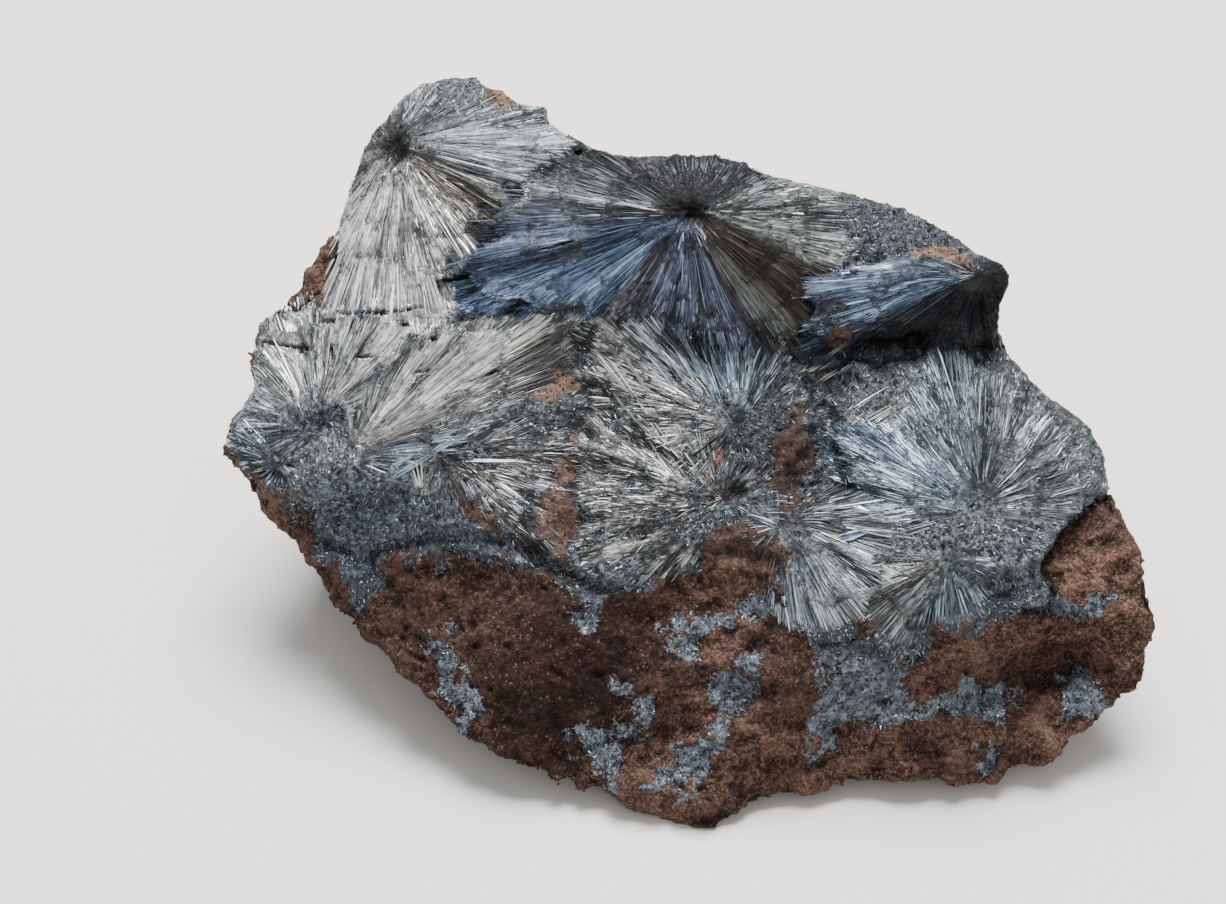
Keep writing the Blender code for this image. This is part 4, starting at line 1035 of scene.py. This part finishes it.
def grow(rng, per_mm2, share_of_length, breadth, flatness, highest, roll, bright, roughly):
    """Needles of one kind over all the sprays, which of them to keep, their sprays and colours.

    breadth is where in the spray's range of widths they lie, highest how far a tip may stand up in
    mm, roll how far they turn about their length in degrees, and roughly how much they stray.
    """
    u, v = scattered(rng, per_mm2)
    owner, bearing, away, grainy = owners(u, v)
    edge = inside_crust(u, v)
    kept = (grainy < rng.uniform(0.25, 0.75, len(u))) & (edge > -0.3) & (crack_at(u, v) < 0.2)
    kept &= rng.random(len(u)) > 0.8 * pit_at(u, v)
    u, v, owner, bearing, away, grainy, edge = [part[kept] for part in
                                                (u, v, owner, bearing, away, grainy, edge)]
    shortest, longest = of_spray(owner, "length") * share_of_length
    reach = np.zeros(len(u))
    for number, spray in enumerate(SPRAYS.values()):
        own = owner == number
        reach[own] = np.interp(bearing[own], *zip(*spray["reach"]), period=360)
    lengths = shortest + (longest - shortest) * rng.random(len(u)) ** 1.6
    room = reach * rng.uniform(0.96, 1.04, len(u)) - away
    lengths = np.minimum(lengths, np.maximum(room, 0.7))
    sway = noise_at(np.column_stack([u, v, np.full(len(u), 7.7)]), 2.0, 91.0)
    heading = bearing + (rng.normal(0.0, 1.0, len(u)) * roughly + 1.8 * sway) * of_spray(owner, "stray")
    narrow, wide = of_spray(owner, "width")
    widths = narrow + (wide - narrow) * (breadth[0] + (breadth[1] - breadth[0]) * rng.random(len(u)) ** 1.8)
    rises = rng.uniform(-0.05, highest, len(u))
    laid = lay(rng, u, v, heading, lengths, widths, flatness, rises, roll)
    grown = crystal_share(on_crust_edge(edge, u, v), laid["root"])[0] > 0.55
    nearby = away + rng.normal(0.0, 1.5, len(u))
    tints = tint_at(u, v, owner, bearing, nearby, grainy, bright + rng.normal(0.0, 0.45, len(u)))
    # Needles in pits are painted darker, as shade in them.
    tints *= (rng.uniform(0.85, 1.15, len(u)) * np.exp(-1.2 * pit_at(u, v)))[:, None]
    return laid, laid["met"] & grown, owner, tints


# Pyrolusite needles: flat metallic faces with a silky gloss, each bundle its own shade as painted glints,
# and a faint unevenness from one half millimetre to the next.
needle_material, tree, shader = blank_material("pyrolusite_needles")
shaded, uneven = mottled_tint(tree, 0.5, 0.8, 1.2)
gloss = add(tree, RANGE, {0: uneven, 1: 0.3, 2: 0.7, 3: 0.28, 4: 0.48})[0]
feed(tree, shader, {"Base Color": shaded, "Roughness": gloss, "Metallic": 0.65})

outer_skin = tree_of(rock.data, crust.data)
rng = np.random.default_rng(11)
fine = grow(rng, FINE_PER_MM2, share_of_length=0.9, breadth=(0.0, 0.6), flatness=0.7, highest=0.08,
            roll=55, bright=0.0, roughly=1.0)
blades = grow(rng, BLADES_PER_MM2, share_of_length=1.15, breadth=(0.5, 1.25), flatness=0.35,
              highest=0.08, roll=30, bright=0.25, roughly=0.7)
for kind, grown_ones, shape in (("needles", fine, fine_needle()), ("blades", blades, flat_blade())):
    laid, kept, owner, tints = grown_ones
    for number, spray_name in enumerate(SPRAYS):
        piece_name = spray_name + "_" + kind
        chosen = kept & (owner == number)
        piece = new_object(piece_name, joined_copies(piece_name, shape, laid, chosen, tints))
        piece.data.materials.append(needle_material)
        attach(piece, "root")
    shape.free()

# The single blades
# Some blades lie loose of any spray: white ones across the dark ground, a small fan of their own and
# a pale blue band at the left, broken ones under the block, and a few hairs on the lobe's edge.
# Each row: from u, v to u, v, width in mm, how far the end stands up, and colour.
SINGLE_BLADES = (
    (-22.6, 15.6, -15.2, 15.5, 0.20, 0.2, "#efeeea"), (-21.2, 14.7, -17.9, 14.6, 0.14, 0.1, "#b9b7b4"),
    (-18.9, 14.5, -16.4, 13.7, 0.16, 0.2, "#dddcd8"), (-18.7, 14.0, -15.6, 11.9, 0.18, 0.2, "#eceae6"),
    (-20.3, 14.0, -18.1, 11.7, 0.15, 0.1, "#b5b4b2"), (-17.9, 13.2, -16.0, 12.8, 0.14, 0.1, "#c9c7c4"),
    (-25.3, 11.7, -26.8, 14.8, 0.15, 0.1, "#c2c1b8"), (-25.3, 11.7, -26.6, 15.6, 0.18, 0.2, "#e2e1d8"),
    (-25.3, 11.7, -26.1, 15.9, 0.22, 0.2, "#eeede6"), (-25.3, 11.8, -25.6, 16.0, 0.20, 0.2, "#c8c8c0"),
    (-25.2, 11.8, -25.1, 15.9, 0.18, 0.2, "#8f9089"), (-25.2, 11.8, -24.6, 15.7, 0.18, 0.2, "#b4b4ab"),
    (-25.2, 11.8, -24.2, 15.3, 0.16, 0.1, "#9a9a93"), (-25.1, 11.8, -23.9, 14.4, 0.15, 0.1, "#b9b9b1"),
    (-30.2, 14.1, -26.0, 16.5, 0.30, 0.1, "#93a5b8"), (-28.8, 14.8, -24.4, 17.2, 0.28, 0.1, "#a3b5c8"),
    (-26.9, 16.0, -21.8, 18.7, 0.30, 0.1, "#8fa2b6"), (-24.6, 17.2, -19.6, 19.7, 0.26, 0.1, "#a0b0c1"),
    (-29.4, 14.0, -27.0, 15.2, 0.24, 0.1, "#7f91a5"), (-30.0, 13.5, -26.4, 15.4, 0.34, 0.1, "#98aabd"),
    (-28.6, 14.0, -24.6, 16.3, 0.34, 0.1, "#8c9fb3"), (-27.0, 14.8, -23.2, 17.0, 0.34, 0.1, "#a5b6c8"),
    (-25.4, 15.8, -21.4, 18.0, 0.34, 0.1, "#95a7ba"), (-23.6, 16.8, -20.0, 18.7, 0.30, 0.1, "#a3b4c6"),
    (-29.6, 14.6, -25.6, 16.7, 0.30, 0.1, "#9dafc1"), (-26.4, 16.4, -22.6, 18.4, 0.30, 0.1, "#8a9cb0"),
    (-22.6, 18.2, -17.8, 20.6, 0.20, 0.1, "#8595a5"), (15.6, 11.3, 17.6, 10.7, 0.75, 0.3, "#b4c2dc"),
    (16.8, 11.3, 19.0, 10.6, 0.60, 0.3, "#9fb0cf"), (14.4, 7.9, 17.3, 8.6, 0.65, 0.3, "#a9b8d3"),
    (15.0, 24.0, 18.4, 27.0, 0.42, 0.4, "#a6b0bf"), (12.1, 24.3, 14.4, 25.5, 0.36, 0.4, "#b9b8ae"),
    (13.0, 23.4, 15.0, 24.6, 0.30, 0.3, "#a3a39a"), (17.2, 24.4, 20.0, 26.3, 0.26, 0.4, "#7e8794"),
    (13.6, 25.6, 15.8, 27.4, 0.26, 0.4, "#8b94a0"), (14.8, 19.8, 19.4, 21.9, 0.26, 0.3, "#b7b9b0"),
    (15.2, 19.5, 19.8, 21.7, 0.24, 0.3, "#8f9089"), (15.6, 19.2, 20.2, 21.5, 0.30, 0.4, "#d8d8ce"),
    (16.2, 19.1, 20.6, 21.3, 0.26, 0.3, "#9fa29b"), (16.7, 19.0, 21.0, 21.2, 0.28, 0.3, "#c4c6be"),
    (17.5, 19.0, 21.6, 21.2, 0.24, 0.3, "#888b86"), (18.3, 19.2, 22.3, 21.4, 0.28, 0.3, "#cdcfc6"),
    (19.6, 19.6, 23.2, 22.0, 0.26, 0.3, "#b4b9b5"), (16.0, 20.6, 20.0, 22.8, 0.26, 0.4, "#9ea29d"),
    (16.8, 21.4, 20.6, 23.6, 0.24, 0.3, "#8d938f"), (14.1, 17.7, 20.6, 15.1, 0.20, 0.2, "#a9b6c4"),
    (13.9, 14.2, 21.1, 9.8, 0.34, 0.35, "#e2e5e6"), (15.5, 14.2, 21.4, 10.6, 0.26, 0.3, "#d2d7d9"),
    (13.9, 16.6, 20.0, 13.6, 0.22, 0.2, "#9dabbb"), (9.0, 42.7, 12.4, 43.1, 0.26, 0.2, "#e4e6e4"),
    (9.8, 42.1, 13.6, 42.3, 0.26, 0.2, "#d3d6d5"), (10.6, 41.5, 14.6, 41.5, 0.28, 0.2, "#eceeec"),
    (11.0, 40.9, 15.4, 40.7, 0.24, 0.2, "#c9cdcb"), (8.4, 41.6, 11.6, 42.3, 0.20, 0.2, "#c4c7c6"),
    (11.6, 42.6, 15.0, 42.2, 0.24, 0.2, "#dfe1df"), (13.0, 41.4, 16.6, 40.9, 0.26, 0.2, "#dcdfdd"),
    (9.4, 40.8, 13.0, 41.0, 0.18, 0.2, "#b4b8b6"), (36.0, 16.1, 36.7, 17.3, 0.24, 0.2, "#cdd0cf"),
    (36.7, 14.4, 37.1, 15.7, 0.22, 0.2, "#c3c7c6"), (37.5, 15.8, 38.2, 16.8, 0.22, 0.2, "#b9bdbc"),
    (35.3, 15.4, 35.8, 16.2, 0.22, 0.2, "#d4d6d4"), (-10.9, 27.1, -6.8, 22.0, 0.26, 0.2, "#b7b8b6"),
    (-7.2, 22.4, -2.9, 17.6, 0.22, 0.2, "#a5a6a4"), (-9.2, 26.9, -5.4, 22.2, 0.32, 0.2, "#c9c9c5"),
    (-7.4, 25.4, -4.4, 21.4, 0.36, 0.2, "#d5d4cf"), (-6.4, 26.6, -3.2, 22.0, 0.26, 0.2, "#b2b3b0"),
    (-4.4, 26.9, -0.8, 22.4, 0.30, 0.2, "#a4b0c0"), (-2.2, 26.4, 1.4, 21.4, 0.30, 0.2, "#95a1b0"),
    (-0.9, 26.6, 2.4, 21.0, 0.32, 0.2, "#9dabbc"), (0.9, 26.0, 3.4, 19.8, 0.45, 0.2, "#9badc2"),
    (1.8, 25.4, 3.6, 20.4, 0.32, 0.2, "#8497ad"), (5.6, 20.4, 5.9, 25.4, 0.26, 0.2, "#8f9ea6"),
    (9.9, 20.8, 10.6, 23.4, 0.30, 0.3, "#a4b0b0"), (-13.6, 48.5, -13.4, 50.2, 0.10, 1.3, "#a9aaa8"),
    (-12.9, 48.2, -12.4, 49.6, 0.09, 1.1, "#b5b6b4"), (-13.3, 48.9, -13.9, 50.0, 0.09, 0.9, "#9b9c9a"),
)
table = np.array([row[:6] for row in SINGLE_BLADES])
colors = np.array([linear(row[6]) for row in SINGLE_BLADES])
# Each has three thinner ones beside it that broke from the same bundle.
beside = rng.normal(0.0, 0.22, (3, len(table), 2))
table = np.concatenate([table] + [np.column_stack([table[:, :2] + shift, table[:, 2:4] + 0.7 * shift,
                                                   table[:, 4] * 0.6, table[:, 5]]) for shift in beside])
colors = np.concatenate([colors, colors * 0.75, colors * 0.5, colors * 0.85])
u, v = table[:, 0], table[:, 1]
across, along = table[:, 2] - u, table[:, 3] - v
laid = lay(rng, u, v, np.degrees(np.arctan2(along, across)), np.hypot(across, along), table[:, 4], 0.3,
           table[:, 5], 20)
shape = fine_needle()
mesh = joined_copies("single_blades", shape, laid, laid["met"], colors)
single_blades = new_object("single_blades", mesh)
shape.free()
single_blades.data.materials.append(needle_material)
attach(single_blades, "root")

# The small crystals
# Between the sprays, and in patches on the rock, the pyrolusite is a felt of short stubby crystals
# that point every way, dark blue-grey with bright flecks where a flat side catches the light.
SMALL_PER_MM2 = 32.0
u, v = scattered(rng, SMALL_PER_MM2)
owner, bearing, away, grainy = owners(u, v)
edge = inside_crust(u, v)
wanted = ((edge < 0.0) | (grainy > rng.uniform(0.2, 0.8, len(u)))) & (crack_at(u, v) < 0.2)
u, v, owner, bearing, away, edge = [part[wanted] for part in (u, v, owner, bearing, away, edge)]
count = len(u)
along_rays = of_spray(owner, "broken") > 0.25
any_way = 520.0 * noise_at(flat_points(u, v), 2.6, 33.0)
heading = np.where(along_rays, bearing, any_way) + rng.normal(0.0, 40.0, count)
lengths = rng.uniform(0.25, 0.75, count) * np.where(edge < 0.0, 0.75, 1.0)
widths = rng.uniform(0.08, 0.17, count)
laid = lay(rng, u, v, heading, lengths, widths, 0.8, rng.uniform(-0.05, 0.12, count), 80)
crust_edge = np.where(edge > 0.0, on_crust_edge(edge, u, v), edge)
grown = laid["met"] & (crystal_share(crust_edge, laid["root"])[0] > 0.55)
tints = tint_at(u, v, owner, bearing, away, np.ones(count), rng.normal(-0.1, 0.65, count))
# Painted shade: crystals on the ledge's wall and in pits are painted darker, as shade there.
ledge_wall_shade = at_ledge(u, v) * (1.0 - soft_step(edge, 0.1, 0.8))
tints *= (rng.uniform(0.8, 1.2, count) * np.exp(-1.2 * pit_at(u, v)) * (1.0 - 0.7 * ledge_wall_shade))[:, None]
shape = fine_needle()
for piece_name, chosen, slot in (("small_crystals", edge >= 0.0, "pyrolusite"),
                                 ("rock_crystals", edge < 0.0, "iron_stained_rock")):
    piece = new_object(piece_name, joined_copies(piece_name, shape, laid, grown & chosen, tints))
    piece.data.materials.append(needle_material)
    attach(piece, "root")
shape.free()

# The rock's grains
# The rock crumbles into sandy grains of a seventh to a third of a millimetre that stand half out
# of its skin, a little lighter and redder than the mass, with a few dark ones.
GRAINS = 9000
FINEST_GRAIN, COARSEST_GRAIN = 0.14, 0.34
crust_places = points_of(crust.data)
bare_rock = np.flatnonzero((rock_share < 0.35) & (covered < 0.2) & (rock_places[:, 2] > BASE_KEEP * MM))
bare_crust = np.flatnonzero((crust_share < 0.35) & (crust_front > 0.2) & (thin < 0.5))
places = np.concatenate([rock_places[bare_rock], crust_places[bare_crust]])
normals = np.concatenate([normals_of(rock.data)[bare_rock], normals_of(crust.data)[bare_crust]])
picked = rng.choice(len(places), GRAINS, replace=False)
places, normals = places[picked], normals[picked]
aim = rng.normal(0.0, 1.0, (GRAINS, 3))
aim /= np.linalg.norm(aim, axis=1)[:, None]
widths = rng.uniform(FINEST_GRAIN, COARSEST_GRAIN, GRAINS) * MM
laid = dict(root=places - normals * 0.06 * MM - aim * (widths * 0.5)[:, None], along=aim,
            up=normals + 0.3 * rng.normal(0.0, 1.0, (GRAINS, 3)),
            length=widths * rng.uniform(0.8, 1.3, GRAINS),
            width=widths, height=widths * rng.uniform(0.6, 1.0, GRAINS))
shape = bmesh.new()
bmesh.ops.create_cube(shape, size=1.0)
bmesh.ops.translate(shape, verts=shape.verts, vec=(0.5, 0.0, 0.0))
for vert, pull in zip(shape.verts, rng.uniform(0.55, 1.0, (8, 3))):
    vert.co = (0.5 + (vert.co.x - 0.5) * pull[0], vert.co.y * pull[1], vert.co.z * pull[2])
dark_grain, sandy_grain = np.array(linear("#20120e")), np.array(linear("#7d6052"))
share = np.clip(0.8 * rock_tone(places) + rng.normal(0.0, 0.14, GRAINS), 0.0, 1.0)[:, None]
tints = dark_grain * (1.0 - share) + sandy_grain * share
mesh = joined_copies("rock_grains", shape, laid, np.ones(GRAINS, bool), tints)
grains = new_object("rock_grains", mesh)
shape.free()

# Iron-stained grit: dull and earthy, no gloss, mottled at a quarter of a millimetre.
grain_material, tree, shader = blank_material("rock_grit")
shaded, _ = mottled_tint(tree, 0.25, 0.7, 1.3)
feed(tree, shader, {"Base Color": shaded, "Roughness": 0.8, "Specular IOR Level": 0.25})
grains.data.materials.append(grain_material)
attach(grains, "root")

# The studio
# A plain pale table top, a large soft light high behind the specimen and a weaker one in front, and
# the camera where the photograph was taken from. Places here are in metres.
FOCAL_PIXELS = 3500.0
IMAGE_WIDTH = 1226
SENSOR = 36.0
LOOK_DOWN = math.radians(41.5)
CAMERA_PLACE = (-0.007, -0.256, 0.2485)

bm = bmesh.new()
bmesh.ops.create_grid(bm, x_segments=8, y_segments=8, size=1.2)
mesh = bpy.data.meshes.new("table_top")
bm.to_mesh(mesh)
bm.free()
table = new_object("table_top", mesh)
table.location.z = -0.0001
table_material, tree, shader = blank_material("pale_table")
feed(tree, shader, {"Base Color": "#ece8e1", "Roughness": 0.6})
table.data.materials.append(table_material)


def soft_light(name, place, aim, size, watts, color):
    """A square lamp at a place, turned to where it aims."""
    lamp = bpy.data.lights.new(name, "AREA")
    lamp.size = size
    lamp.energy = watts
    lamp.color = linear(color)
    obj = new_object(name, lamp)
    obj.location = place
    obj.rotation_euler = (Vector(aim) - Vector(place)).to_track_quat("-Z", "Y").to_euler()
    return obj


soft_light("sky_window", (0.03, 0.36, 0.80), (0, 0, 0), 0.5, 21.0, "#ffffff")
soft_light("room_fill", (0.3, -0.8, 0.5), (0, 0, 0), 0.8, 1.5, "#fffaf2")
world = bpy.data.worlds.new("pale_room")
bpy.context.scene.world = world
world.use_nodes = True
background = world.node_tree.nodes["Background"]
feed(world.node_tree, background, {"Color": "#c9ccd0", "Strength": 0.97})

camera_data = bpy.data.cameras.new("camera")
camera_data.sensor_width = SENSOR
camera_data.lens = FOCAL_PIXELS / IMAGE_WIDTH * SENSOR
camera = new_object("camera", camera_data)
camera.location = CAMERA_PLACE
camera.rotation_euler = (math.radians(90) - LOOK_DOWN, 0.0, 0.0)
bpy.context.scene.camera = camera
